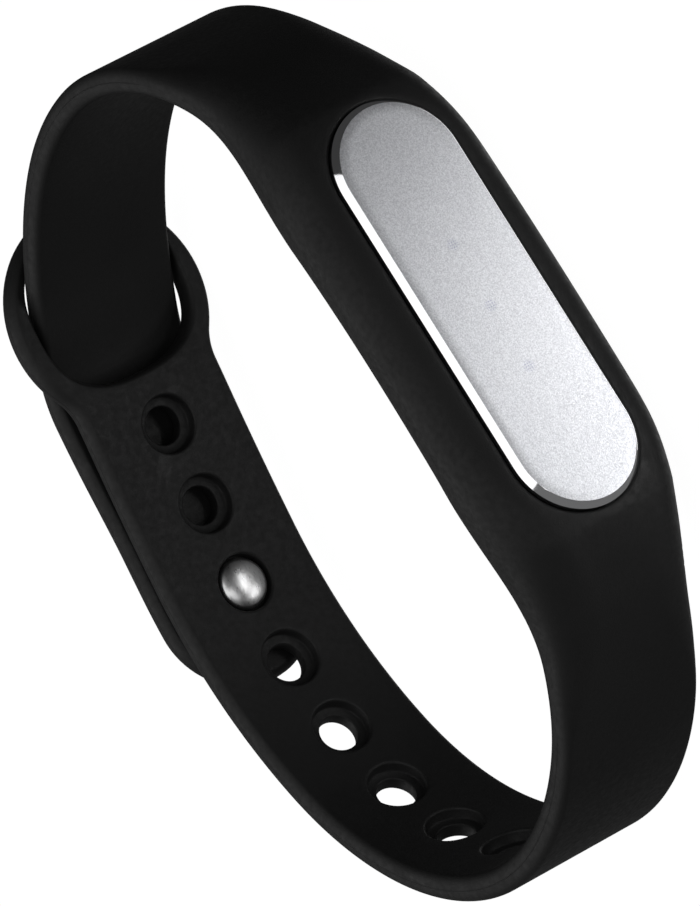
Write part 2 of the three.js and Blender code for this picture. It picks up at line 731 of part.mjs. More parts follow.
addPiece(
  capsule,
  'battery_tape',
  box([batterySize[0] - 1, batterySize[1] - 1, tapeThickness],
    [batteryStart + batterySize[0] / 2, 0, motorFloor + tapeThickness / 2]),
  'tape',
);
addPiece(
  capsule,
  'battery_cell',
  box(batterySize, [batteryStart + batterySize[0] / 2, 0, batteryFloor + batterySize[2] / 2]),
  'foil',
);
addPiece(
  capsule,
  'battery_board',
  box([packBoardLength, batterySize[1] - 1, 0.6],
    [packBoardStart + packBoardLength / 2, 0, batteryFloor + 1.3]),
  'board',
);
for (const [name, side] of [['battery_lead_red', 1], ['battery_lead_black', -1]]) {
  const y = side * 2.4;
  const from = packBoardStart + packBoardLength - 0.5;
  const start = batteryFloor + 1.6 + fitGap;
  addPiece(capsule, name, leadGeometry([
    [from, y, start], [from + 0.2, y, start + 0.5], [from + 0.5, y, underBoard],
  ]), side > 0 ? 'red' : 'black');
}

addPiece(
  capsule,
  'motor_base',
  disc(motorDiameter - 2 * motorWall - 0.1, motorFloor, motorFloor + motorBaseThickness, 32)
    .translate(motorMiddle, 0, 0),
  'steel',
);
addPiece(capsule, 'motor_case', motorCaseGeometry(), 'steel');
addPiece(
  capsule,
  'motor_shaft',
  disc(shaftDiameter, motorFloor + motorBaseThickness, motorTop - motorWall, 20).translate(motorMiddle, 0, 0),
  'steel',
);
addPiece(capsule, 'motor_rotor', rotorGeometry(), 'tungsten');
for (const [name, side] of [['motor_lead_1', 1], ['motor_lead_2', -1]]) {
  const x = motorMiddle - motorDiameter / 2 - fitGap - leadDiameter / 2;
  const y = side * 1.2;
  addPiece(capsule, name, leadGeometry([
    [x, y * 0.6, motorFloor + 0.6], [x - 0.1, y * 0.8, motorFloor + 1.8], [x - 0.2, y, underBoard],
  ]), side > 0 ? 'red' : 'black');
}

// Charging contacts: a gold pin through the floor at one end and a leaf spring up to the board.
const pinTop = floorLevel + 0.35;
const springFoot = pinTop + fitGap;
const springHeight = underBoard - springFoot;

function springGeometry() {
  const t = springThickness;
  const h = springHeight;
  const outline = new THREE.Shape([
    [0.4, 0], [0.4, t], [-0.5, h - t], [0.1, h - t], [0.1, h],
    [-0.7, h], [-0.7, h - t], [0.2, t], [-0.7, t], [-0.7, 0],
  ].map(([x, z]) => new THREE.Vector2(x, z)));
  return new THREE.ExtrudeGeometry(outline, { depth: 0.8, bevelEnabled: false }).rotateX(Math.PI / 2);
}

contactYs.forEach((y, i) => {
  const pin = disc(contactDiameter, capsuleBottom + fitGap, pinTop, 20).translate(contactMiddle, y, 0);
  addPiece(capsule, `contact_pin_${i + 1}`, pin, 'gold');
  const spring = springGeometry().translate(contactMiddle, y + 0.4, springFoot);
  addPiece(capsule, `contact_spring_${i + 1}`, spring, 'gold');
});

// ---------------------------------------------------------------- the whole, origin under its middle

const tracker = new THREE.Group();
tracker.add(band, capsule);
const bounds = new THREE.Box3().setFromObject(tracker, true);
const middle = bounds.getCenter(new THREE.Vector3());
tracker.position.set(-middle.x, -middle.y, -bounds.min.z);

export default tracker;
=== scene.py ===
import json
import math
import bmesh
import bpy
import numpy as np
from mathutils import Matrix, Vector

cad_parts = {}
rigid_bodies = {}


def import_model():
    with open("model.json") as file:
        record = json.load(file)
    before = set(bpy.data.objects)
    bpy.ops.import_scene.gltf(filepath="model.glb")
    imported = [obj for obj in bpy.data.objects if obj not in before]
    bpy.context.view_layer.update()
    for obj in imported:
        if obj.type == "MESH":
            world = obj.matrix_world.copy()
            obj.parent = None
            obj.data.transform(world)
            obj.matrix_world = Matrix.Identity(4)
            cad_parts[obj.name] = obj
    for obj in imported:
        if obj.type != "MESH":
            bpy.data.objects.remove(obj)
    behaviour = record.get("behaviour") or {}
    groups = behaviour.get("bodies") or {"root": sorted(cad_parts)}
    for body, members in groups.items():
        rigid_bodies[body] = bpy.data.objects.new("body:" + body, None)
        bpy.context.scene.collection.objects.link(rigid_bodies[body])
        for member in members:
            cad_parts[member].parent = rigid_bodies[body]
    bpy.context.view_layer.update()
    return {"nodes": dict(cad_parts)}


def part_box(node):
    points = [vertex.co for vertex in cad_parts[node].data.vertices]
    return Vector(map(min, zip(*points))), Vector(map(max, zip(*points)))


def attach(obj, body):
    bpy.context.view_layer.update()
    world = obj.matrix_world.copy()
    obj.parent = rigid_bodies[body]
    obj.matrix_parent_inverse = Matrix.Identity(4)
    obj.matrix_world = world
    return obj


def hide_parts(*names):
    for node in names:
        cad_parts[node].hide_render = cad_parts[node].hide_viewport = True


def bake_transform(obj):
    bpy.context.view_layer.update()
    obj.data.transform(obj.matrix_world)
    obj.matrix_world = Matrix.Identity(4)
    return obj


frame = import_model()
cadNodes = frame["nodes"]
mm = 0.001    # sizes below are millimetres, the scene is in metres


def linearColour(hexColour):
    # sRGB hex to linear RGBA
    channels = [int(hexColour[i:i + 2], 16) / 255 for i in (1, 3, 5)]
    return [c / 12.92 if c <= 0.04045 else ((c + 0.055) / 1.055) ** 2.4 for c in channels] + [1.0]


def addNode(tree, kind, sockets=None, **settings):
    # one node with its settings; a socket value may be a number, a colour or another node's output
    node = tree.nodes.new(kind)
    for key, value in settings.items():
        setattr(node, key, value)
    for key, value in (sockets or {}).items():
        if isinstance(value, bpy.types.NodeSocket):
            tree.links.new(value, node.inputs[key])
        else:
            node.inputs[key].default_value = value
    return node


def smoothStep(x, low, high):
    t = min(max((x - low) / (high - low), 0.0), 1.0)
    return t * t * (3 - 2 * t)


def mix(a, b, share):
    return a + (b - a) * share


# Materials read the piece's own coordinates. Noise lies mostly between 0.3 and 0.7, so that is the range mapped.

def startMaterial(name, sockets):
    material = bpy.data.materials.new(name)
    material.use_nodes = True
    tree = material.node_tree
    tree.nodes.clear()
    shader = addNode(tree, "ShaderNodeBsdfPrincipled", sockets)
    addNode(tree, "ShaderNodeOutputMaterial", {"Surface": shader.outputs["BSDF"]})
    return material, tree, shader


siliconeLook = {
    "colour": "#111111",
    "rubbed": "#191919",        # where edges have been handled
    "cloud": 9.0,               # size of the faint mottling, mm
    "grain": 0.16,              # spark-eroded mould grain is finer; this is as fine as shows
    "roughness": (0.50, 0.66),
    "smoother": 0.12,           # how much gloss the rubbed edges gain
    "waves": 0.10, "grainDepth": 0.02,
}


def makeSilicone(look):
    # moulded silicone rubber: deep matte black, a fine mould grain and a soft sheen on its rubbed edges
    material, tree, shader = startMaterial("moulded silicone", {"IOR": 1.41, "Specular IOR Level": 0.26})
    place = addNode(tree, "ShaderNodeTexCoord").outputs["Object"]
    cloud = addNode(tree, "ShaderNodeTexNoise", {"Vector": place, "Scale": 1 / (look["cloud"] * mm), "Detail": 3.0})
    coarse = addNode(tree, "ShaderNodeTexNoise", {"Vector": place, "Scale": 1 / (look["grain"] * 3 * mm)})
    fine = addNode(tree, "ShaderNodeTexNoise", {"Vector": place, "Scale": 1 / (look["grain"] * mm), "Detail": 1.0})
    tint = addNode(tree, "ShaderNodeMapRange", {
        "Value": cloud.outputs["Fac"], "From Min": 0.3, "From Max": 0.7, "To Max": 0.5})
    edge = addNode(tree, "ShaderNodeMapRange", {
        "Value": addNode(tree, "ShaderNodeNewGeometry").outputs["Pointiness"],
        "From Min": 0.505, "From Max": 0.56, "To Max": 0.6})
    worn = addNode(tree, "ShaderNodeMath", {
        0: tint.outputs["Result"], 1: edge.outputs["Result"]}, operation="ADD", use_clamp=True)
    base = addNode(tree, "ShaderNodeMix", {
        0: worn.outputs[0], 6: linearColour(look["colour"]), 7: linearColour(look["rubbed"])}, data_type="RGBA")
    rough = addNode(tree, "ShaderNodeMapRange", {
        "Value": coarse.outputs["Fac"], "From Min": 0.3, "From Max": 0.7,
        "To Min": look["roughness"][0], "To Max": look["roughness"][1]})
    sheen = addNode(tree, "ShaderNodeMath", {
        0: edge.outputs["Result"], 1: -look["smoother"], 2: rough.outputs["Result"]}, operation="MULTIPLY_ADD")
    wavy = addNode(tree, "ShaderNodeBump", {
        "Height": cloud.outputs["Fac"], "Distance": look["waves"] * mm, "Strength": 0.5})
    grained = addNode(tree, "ShaderNodeBump", {
        "Height": fine.outputs["Fac"], "Distance": look["grainDepth"] * mm, "Strength": 0.5,
        "Normal": wavy.outputs["Normal"]})
    tree.links.new(base.outputs[2], shader.inputs["Base Color"])
    tree.links.new(sheen.outputs[0], shader.inputs["Roughness"])
    tree.links.new(grained.outputs["Normal"], shader.inputs["Normal"])
    return material


plateLook = {
    "colour": "#d2d3d6", "shade": "#aaabb0",
    "cloud": 3.5,
    "blast": 0.11,              # bead-blasted dimples, drawn at about twice their size
    "roughness": (0.40, 0.48), "depth": 0.015,
    "dot": 0.13, "dotSpacing": 0.22, "patch": 0.55,     # laser-drilled dots in a round patch over each light
    "dotColour": "#8388a4",
}


def makeBlastedAluminium(look):
    # anodised aluminium, bead blasted: a bright satin grain; tiny drilled dots show faintly over the lights
    material, tree, shader = startMaterial("blasted anodised aluminium", {"Metallic": 1.0})
    place = addNode(tree, "ShaderNodeTexCoord").outputs["Object"]
    cloud = addNode(tree, "ShaderNodeTexNoise", {"Vector": place, "Scale": 1 / (look["cloud"] * mm), "Detail": 3.0})
    blast = addNode(tree, "ShaderNodeTexNoise", {"Vector": place, "Scale": 1 / (look["blast"] * mm)})
    coarse = addNode(tree, "ShaderNodeTexNoise", {"Vector": place, "Scale": 1 / (look["blast"] * 1.7 * mm)})
    share = addNode(tree, "ShaderNodeMapRange", {
        "Value": cloud.outputs["Fac"], "From Min": 0.3, "From Max": 0.7, "To Max": 0.35})
    sparkle = addNode(tree, "ShaderNodeMapRange", {
        "Value": blast.outputs["Fac"], "From Min": 0.3, "From Max": 0.7, "To Max": 0.9})
    clouded = addNode(tree, "ShaderNodeMath", {
        0: share.outputs["Result"], 1: sparkle.outputs["Result"]}, operation="MULTIPLY")
    both = addNode(tree, "ShaderNodeMath", {
        0: clouded.outputs[0], 1: sparkle.outputs["Result"]}, operation="MAXIMUM")
    metal = addNode(tree, "ShaderNodeMix", {
        0: both.outputs[0], 6: linearColour(look["colour"]), 7: linearColour(look["shade"])}, data_type="RGBA")
    rough = addNode(tree, "ShaderNodeMapRange", {
        "Value": coarse.outputs["Fac"], "From Min": 0.3, "From Max": 0.7,
        "To Min": look["roughness"][0], "To Max": look["roughness"][1]})
    # dots: nearest point of a square lattice, kept inside a small patch round each light
    spacing, radius = look["dotSpacing"] * mm, look["dot"] / 2 * mm
    snapped = addNode(tree, "ShaderNodeVectorMath", {0: place, 1: (spacing,) * 3}, operation="SNAP")
    centred = addNode(tree, "ShaderNodeVectorMath", {0: snapped.outputs[0], 1: (spacing / 2,) * 3}, operation="ADD")
    flatHere = addNode(tree, "ShaderNodeVectorMath", {0: place, 1: (1, 0, 1)}, operation="MULTIPLY")
    flatDot = addNode(tree, "ShaderNodeVectorMath", {0: centred.outputs[0], 1: (1, 0, 1)}, operation="MULTIPLY")
    away = addNode(tree, "ShaderNodeVectorMath", {0: flatHere.outputs[0], 1: flatDot.outputs[0]}, operation="DISTANCE")
    dot = addNode(tree, "ShaderNodeMapRange", {
        "Value": away.outputs["Value"], "From Min": radius * 0.6, "From Max": radius * 1.3,
        "To Min": 1.0, "To Max": 0.0})
    patches = None
    for node in ("led_1", "led_2", "led_3"):
        light = sum(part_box(node), Vector()) / 2
        near = addNode(tree, "ShaderNodeVectorMath", {
            0: flatHere.outputs[0], 1: (light.x, 0, light.z)}, operation="DISTANCE")
        patch = addNode(tree, "ShaderNodeMapRange", {
            "Value": near.outputs["Value"], "From Min": look["patch"] * 0.7 * mm, "From Max": look["patch"] * mm,
            "To Min": 1.0, "To Max": 0.0}).outputs["Result"]
        patches = patch if patches is None else addNode(
            tree, "ShaderNodeMath", {0: patches, 1: patch}, operation="MAXIMUM").outputs[0]
    dotted = addNode(tree, "ShaderNodeMath", {0: dot.outputs["Result"], 1: patches}, operation="MULTIPLY")
    veil = addNode(tree, "ShaderNodeMath", {0: patches, 1: 0.12, 2: dotted.outputs[0]}, operation="MULTIPLY_ADD")
    soft = addNode(tree, "ShaderNodeMath", {0: veil.outputs[0], 1: 0.5}, operation="MULTIPLY")
    base = addNode(tree, "ShaderNodeMix", {
        0: soft.outputs[0], 6: metal.outputs[2], 7: linearColour(look["dotColour"])}, data_type="RGBA")
    bump = addNode(tree, "ShaderNodeBump", {
        "Height": blast.outputs["Fac"], "Distance": look["depth"] * mm, "Strength": 0.6})
    tree.links.new(base.outputs[2], shader.inputs["Base Color"])
    tree.links.new(rough.outputs["Result"], shader.inputs["Roughness"])
    tree.links.new(bump.outputs["Normal"], shader.inputs["Normal"])
    return material


def makeFinish(name, look):
    # two colours mottled by a grain of a real size, uneven gloss, and a bump of that grain or of tracks
    material, tree, shader = startMaterial(name, look.get("shader", {}))
    place = addNode(tree, "ShaderNodeTexCoord").outputs["Object"]
    if "stretch" in look:
        glossPlace = addNode(tree, "ShaderNodeMapping", {"Vector": place, "Scale": look["stretch"]}).outputs["Vector"]
    else:
        glossPlace = place
    grain = addNode(tree, "ShaderNodeTexNoise", {
        "Vector": place, "Scale": 1 / (look["grain"] * mm), "Detail": look.get("detail", 4.0)})
    gloss = addNode(tree, "ShaderNodeTexNoise", {
        "Vector": glossPlace, "Scale": 1 / (look["gloss"] * mm), "Detail": look.get("glossDetail", 2.0)})
    share = addNode(tree, "ShaderNodeMapRange", {
        "Value": grain.outputs["Fac"], "From Min": 0.3, "From Max": 0.7, "To Max": look.get("mottle", 0.8)})
    rough = addNode(tree, "ShaderNodeMapRange", {
        "Value": gloss.outputs["Fac"], "From Min": 0.3, "From Max": 0.7,
        "To Min": look["roughness"][0], "To Max": look["roughness"][1]})
    pattern = share.outputs["Result"]
    height = (gloss if look.get("raised") == "gloss" else grain).outputs["Fac"]
    if "track" in look:     # copper tracks under a lacquer
        tracks = addNode(tree, "ShaderNodeTexBrick", {
            "Vector": place, "Scale": 1 / (look["track"] * mm), "Mortar Size": 0.06, "Mortar Smooth": 0.2,
            "Color1": (0, 0, 0, 1), "Color2": (0.15, 0.15, 0.15, 1), "Mortar": (1, 1, 1, 1)})
        pattern = height = tracks.outputs["Color"]
    colour = addNode(tree, "ShaderNodeMix", {
        0: pattern, 6: linearColour(look["colour"]), 7: linearColour(look["shade"])}, data_type="RGBA")
    bump = addNode(tree, "ShaderNodeBump", {
        "Height": height, "Distance": look.get("depth", 0.01) * mm, "Strength": look.get("strength", 0.6)})
    tree.links.new(colour.outputs[2], shader.inputs["Base Color"])
    tree.links.new(rough.outputs["Result"], shader.inputs["Roughness"])
    tree.links.new(bump.outputs["Normal"], shader.inputs["Normal"])
    return material


# where the band runs: two paths of tangent arcs, from the tracker's middle
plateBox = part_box("face_plate")
ringSize = {
    "plateTop": 5.7,            # tracker's face over the band's inner surface
    "holeSeat": (186, 8.5),     # radius, length: the nearly flat stretch under the tracker
    "holeArcs": [(41, 13.7), (22, 41.7), (25.6, 25.2), (22.5, 77.7), (36, 30.2), (193, 3.6), (-105, -4)],
    "studSeat": (122, 9.4),
    "studArcs": [(36.4, 15.3), (19.2, 72), (25.6, 20)],     # radius, turn in degrees
    "loopCentre": 116.8,
    "crossing": 33,             # angle of the stud strap in the loop
    "slotShift": 0.6,
    "step": 0.25,
}
ringOrigin = np.array([
    (plateBox[0].x + plateBox[1].x) / 2 / mm,
    plateBox[0].y / mm + ringSize["plateTop"],
    (plateBox[0].z + plateBox[1].z) / 2 / mm,
])


def arcPoints(seat, arcs, side, straight=0.0):
    # tangent arcs from the tracker's middle; side is +1 towards +X
    rows = [(seat[0], seat[1] / seat[0])] + [(radius, math.radians(turn)) for radius, turn in arcs]
    points = [np.zeros(2)]
    turned = 0.0
    for radius, turn in rows:
        steps = max(round(abs(radius * turn) / ringSize["step"]), 2)
        centre = points[-1] + np.array([-side * math.sin(turned), math.cos(turned)]) * radius
        for i in range(1, steps + 1):
            here = turned + turn * i / steps
            points.append(centre + np.array([side * math.sin(here), -math.cos(here)]) * radius)
        turned += turn
    heading = np.array([side * math.cos(turned), math.sin(turned)])
    steps = round(straight / ringSize["step"])
    points += [points[-1] + heading * straight * (i / steps) for i in range(1, steps + 1)] if steps else []
    return points


def makePath(points, side):
    points = np.array(points)
    spans = np.linalg.norm(np.diff(points, axis=0), axis=1)
    around = np.concatenate([points[1:2] * 2 - points[2:3], points, points[-1:] * 2 - points[-2:-1]])
    headings = around[2:] - around[:-2]
    headings[0] = points[1] - points[0]
    headings /= np.linalg.norm(headings, axis=1)[:, None]
    return {"points": points, "lengths": np.concatenate([[0], np.cumsum(spans)]), "headings": headings, "side": side}


def placeOn(path, distance, out=0.0):
    # point, outward normal and heading at a distance along the path
    lengths = path["lengths"]
    i = min(max(int(np.searchsorted(lengths, distance)), 1), len(lengths) - 1)
    share = (distance - lengths[i - 1]) / (lengths[i] - lengths[i - 1])
    heading = mix(path["headings"][i - 1], path["headings"][i], share)
    heading = heading / np.linalg.norm(heading)
    normal = np.array([heading[1], -heading[0]]) * path["side"]
    return mix(path["points"][i - 1], path["points"][i], share) + normal * out, normal, heading


strapSize = {
    "holeWidth": 13.5, "holeThickness": 2.2,
    "studWidth": 13.5, "studThickness": 2.1,
    "edge": 0.6, "edgeFlat": 0.2,
    "seam": 0.03,               # parting line of the mould along the edges
}
tailSize = {
    "leaves": 6.8,              # the tail lies on the strap from here, before the loop's middle
    "settles": 12.0, "rise": 0.75, "gap": 0.3,
    "beyondStud": 7.1, "firstLength": 6.6, "firstBend": 0.4,
    "bendReach": 2.6,           # half the length of strap that a bend takes
}
holeSize = {
    "count": 8, "pitch": 6.95, "first": 10.2, "studIn": 3,
    "recess": 4.7, "depth": 1.0, "bore": 3.1,
    "cellReach": 2.8, "cellStations": 8,      # half the length of strap that a hole's mesh takes, and its rows
}


def tailOffset(distance):
    settled = smoothStep(tailStart - distance, 0, tailSize["settles"])
    return strapSize["holeThickness"] + tailSize["gap"] + tailSize["rise"] * (1 - settled)


def bendBetween(start, startHeading, end, endHeading):
    reach = np.linalg.norm(end - start) / 3
    handles = [start, start + startHeading * reach, end - endHeading * reach, end]
    steps = math.ceil(np.linalg.norm(end - start) * 1.1 / ringSize["step"])
    curve = []
    for i in range(1, steps + 1):
        t = i / steps
        weights = ((1 - t) ** 3, 3 * t * (1 - t) ** 2, 3 * t * t * (1 - t), t ** 3)
        curve.append(sum(w * h for w, h in zip(weights, handles)))
    return curve


loopCentre = ringSize["loopCentre"]
tailStart = loopCentre - tailSize["leaves"]
holeTurn = sum(radius * math.radians(turn) for radius, turn in ringSize["holeArcs"]) + ringSize["holeSeat"][1]
holePath = makePath(arcPoints(ringSize["holeSeat"], ringSize["holeArcs"], -1, loopCentre + 14 - holeTurn), -1)
studDistance = loopCentre - holeSize["first"] - (holeSize["studIn"] - 1) * holeSize["pitch"]
tailEnd = studDistance - tailSize["beyondStud"]


def makeStudPath():
    points = arcPoints(ringSize["studSeat"], ringSize["studArcs"], 1)
    arcsHeading = (points[-1] - points[-2]) / np.linalg.norm(points[-1] - points[-2])
    lift = (strapSize["holeThickness"] - strapSize["studThickness"]) / 2
    crossing, _, back = placeOn(holePath, loopCentre + ringSize["slotShift"], lift)
    turn = math.radians(-ringSize["crossing"])
    turned = np.array([[math.cos(turn), -math.sin(turn)], [math.sin(turn), math.cos(turn)]]) @ -back
    leave, _, along = placeOn(holePath, tailStart, tailOffset(tailStart))
    points += bendBetween(points[-1], arcsHeading, crossing, turned)
    points += bendBetween(crossing, turned, leave, -along)
    untilTail = float(np.sum(np.linalg.norm(np.diff(np.array(points), axis=0), axis=1)))
    for distance in np.arange(tailStart - ringSize["step"], tailEnd, -ringSize["step"]):
        points.append(placeOn(holePath, distance, tailOffset(distance))[0])
    points.append(placeOn(holePath, tailEnd, tailOffset(tailEnd))[0])
    return makePath(points, 1), untilTail


studPath, strapUntilTail = makeStudPath()
firstBend = strapUntilTail + tailSize["firstBend"]
secondBend = firstBend + tailSize["firstLength"]
tailSplit = (firstBend + secondBend) / 2
tailLength = studPath["lengths"][-1]
print("paths: hole side", round(holePath["lengths"][-1], 1), "mm, stud side", round(tailLength, 1), "mm")


sectionSteps = {"flat": 24, "corner": 9, "station": 0.7}


def edgeProfile(half, height, lowEdge, lowRise, flat, highEdge):
    # one long edge from the inner face to the outer face, with the fine line the mould leaves
    steps = sectionSteps["corner"]
    profile = []
    for i in range(steps + 1):
        t = math.pi / 2 * i / steps
        profile.append((half - lowEdge + lowEdge * math.sin(t), lowRise - lowRise * math.cos(t)))
    middle = lowRise + flat / 2
    seam = min(0.08, flat * 0.3)
    profile += [(half, middle - seam), (half + strapSize["seam"], middle), (half, middle + seam)]
    highRise = height - lowRise - flat
    for i in range(steps + 1):
        t = math.pi / 2 * i / steps
        profile.append((half - highEdge + highEdge * math.cos(t), lowRise + flat + highRise * math.sin(t)))
    return profile


def strapEdge(width, thickness, half=None):
    rise = thickness / 2 - strapSize["edgeFlat"] / 2
    return edgeProfile(width / 2 if half is None else half, thickness, strapSize["edge"], rise,
                       strapSize["edgeFlat"], strapSize["edge"])


def closedSection(profile):
    # inner face, right edge, outer face, left edge
    steps = sectionSteps["flat"]
    low, high = profile[0], profile[-1]
    inner = [(mix(-low[0], low[0], i / steps), low[1]) for i in range(1, steps)]
    outer = [(mix(high[0], -high[0], i / steps), high[1]) for i in range(1, steps)]
    left = [(-across, out) for across, out in reversed(profile)]
    return inner + profile + outer + left


def bandSection(path, distance, strapWidth, thickness):
    narrowing = smoothStep(distance, pocketSize["fullFrom"], pocketSize["strapFrom"])
    thinning = smoothStep(distance, pocketSize["shoulderFrom"], pocketSize["thinFrom"])
    point, normal, _ = placeOn(path, min(distance, pocketSize["seatEnd"]))
    pocketHeight = (pocketSize["lip"] + point[1]) / -normal[1]
    crown = pocketSize["crown"] * 4 * thinning * (1 - thinning)
    edge = strapSize["edge"]
    return {
        "half": mix(pocketSize["width"], strapWidth, narrowing) / 2,
        "height": mix(pocketHeight, thickness, thinning),
        "lowEdge": mix(pocketSize["lowEdge"], edge, narrowing),
        "lowRise": mix(pocketSize["lowEdge"], thickness / 2 - strapSize["edgeFlat"] / 2, thinning),
        "flat": mix(pocketSize["flatSide"], strapSize["edgeFlat"], thinning),
        "highEdge": mix(pocketSize["shoulderEdge"], edge, narrowing) + crown,
    }


def addSkin(bm, rows, closed=False):
    # quads between neighbouring rows of points
    made = [[bm.verts.new(point) for point in row] for row in rows]
    for one, two in zip(made, made[1:]):
        count = len(one)
        for j in range(count if closed else count - 1):
            k = (j + 1) % count
            bm.faces.new((one[j], one[k], two[k], two[j]))
    return made


def addCap(bm, row):
    middle = bm.verts.new(np.mean([list(vert.co) for vert in row], axis=0))
    for j, vert in enumerate(row):
        bm.faces.new((middle, vert, row[(j + 1) % len(row)]))


def toMesh(bm, name, weld=0.001):
    # weld in millimetres; the skins of one piece share the points along their borders
    bmesh.ops.remove_doubles(bm, verts=[vert for vert in bm.verts if vert.is_boundary], dist=weld)
    bmesh.ops.recalc_face_normals(bm, faces=bm.faces)
    mesh = bpy.data.meshes.new(name)
    bm.to_mesh(mesh)
    bm.free()
    return mesh


def finishMesh(mesh, material, sharpFrom):
    for polygon in mesh.polygons:
        polygon.use_smooth = True
    mesh.set_sharp_from_angle(angle=math.radians(sharpFrom))
    mesh.materials.clear()
    mesh.materials.append(material)
    return mesh


def addObject(name, mesh):
    piece = bpy.data.objects.new(name, mesh)
    bpy.context.scene.collection.objects.link(piece)
    return piece


def ringToScene(mesh):
    # from millimetres in the ring's plane (x, y, across) to the scene
    mesh.transform(Matrix.Scale(mm, 4) @ Matrix.Translation(Vector(ringOrigin)))
    return mesh


# flat parts have X along the strap, Y across and Z away from the wrist
def sectionRows(distances, profile):
    section = closedSection(profile)
    return [[(x, across, out) for across, out in section] for x in distances]


def spaced(start, end, step):
    count = max(math.ceil(abs(end - start) / step - 1e-6), 1)
    return [mix(start, end, i / count) for i in range(count + 1)]


def patchRows(boundary, opening, level, rings):
    # flat rows from a boundary to the opening's edge
    rows = []
    for k in range(rings):
        share = k / rings
        rows.append([(mix(b[0], o[0], share), mix(b[1], o[1], share), level) for b, o in zip(boundary, opening)])
    return rows


def roundedStep(radius, level, corner, down, steps=4):
    # (radius, level) of a quarter round from a flat face into a hole
    angles = [math.pi / 2 * i / steps for i in range(steps + 1)]
    return [(radius + corner * (1 - math.sin(t)), level + down * corner * (1 - math.cos(t))) for t in angles]


def holeProfile(top, wide, depth, narrow, thickness):
    # stepped hole from the face with the wide recess to the other face; top is that face's level
    down = 1 if top == 0 else -1
    far = thickness if top == 0 else 0.0
    rows = roundedStep(wide / 2, top, 0.22, down)
    floor = top + down * depth
    rows += [(wide / 2 - 0.02, floor - down * 0.12), (wide / 2 - 0.14, floor)]
    rows += roundedStep(narrow / 2, floor, 0.14, down, 3)
    rows += [(narrow / 2 + corner, far - down * drop) for corner, drop in
             ((0.0, 0.2), (0.03, 0.1), (0.1, 0.03), (0.2, 0.0))]
    return rows


def squareBoundary(reach, half, stations, columns):
    left = [(-reach, mix(-half, half, i / columns)) for i in range(columns)]
    upper = [(mix(-reach, reach, i / stations), half) for i in range(stations)]
    right = [(reach, mix(half, -half, i / columns)) for i in range(columns)]
    lower = [(mix(reach, -reach, i / stations), -half) for i in range(stations)]
    return left + upper + right + lower


def makeHoleCell():
    # one pitch of strap with its stepped hole; the recess is on the wrist side
    bm = bmesh.new()
    width, thickness = strapSize["holeWidth"], strapSize["holeThickness"]
    profile = strapEdge(width, thickness)
    reach, stations = holeSize["cellReach"], holeSize["cellStations"]
    boundary = squareBoundary(reach, profile[0][0], stations, sectionSteps["flat"])
    angles = [math.atan2(y, x) for x, y in boundary]
    rings = holeProfile(0.0, holeSize["recess"], holeSize["depth"], holeSize["bore"], thickness)
    circles = [[(r * math.cos(a), r * math.sin(a), z) for a in angles] for r, z in rings]
    inner = patchRows(boundary, circles[0], 0.0, 5)
    outer = patchRows(boundary, circles[-1], thickness, 6)
    addSkin(bm, inner + circles + outer[::-1], closed=True)
    for side in (1, -1):
        addSkin(bm, [[(x, side * across, out) for across, out in profile]
                     for x in spaced(-reach, reach, 2 * reach / stations)])
    between = reach - holeSize["pitch"]
    addSkin(bm, sectionRows([between, (between - reach) / 2, -reach], profile), closed=True)
    return toMesh(bm, "hole cell")


loopSize = {
    "radius": 8.9, "fillet": 4.57,
    "slotHalfLength": 6.1, "slotHalfWidth": 6.98, "slotPower": 2.6,
    "slotEdge": 0.42, "neck": 7.4,
}


def loopOutline(half):
    # outer edge of the ring in plan, from one side of the neck round to the other, with outward normals
    radius, fillet = loopSize["radius"], loopSize["fillet"]
    middle = -math.sqrt((radius + fillet) ** 2 - (half + fillet) ** 2)
    meet = math.atan2(half + fillet, -middle)
    points = [((-loopSize["neck"], half), (0, 1))]
    for i in range(13):      # fillet, curving outwards
        t = -math.pi / 2 + (math.pi / 2 - meet) * i / 12
        normal = (math.cos(t), math.sin(t))
        points.append(((middle + fillet * normal[0], half + fillet + fillet * normal[1]), (-normal[0], -normal[1])))
    for i in range(1, 72):
        t = math.pi - meet - (2 * math.pi - 2 * meet) * i / 72
        points.append(((radius * math.cos(t), radius * math.sin(t)), (math.cos(t), math.sin(t))))
    mirrored = [((x, -y), (nx, -ny)) for (x, y), (nx, ny) in points[13::-1]]
    return points + mirrored


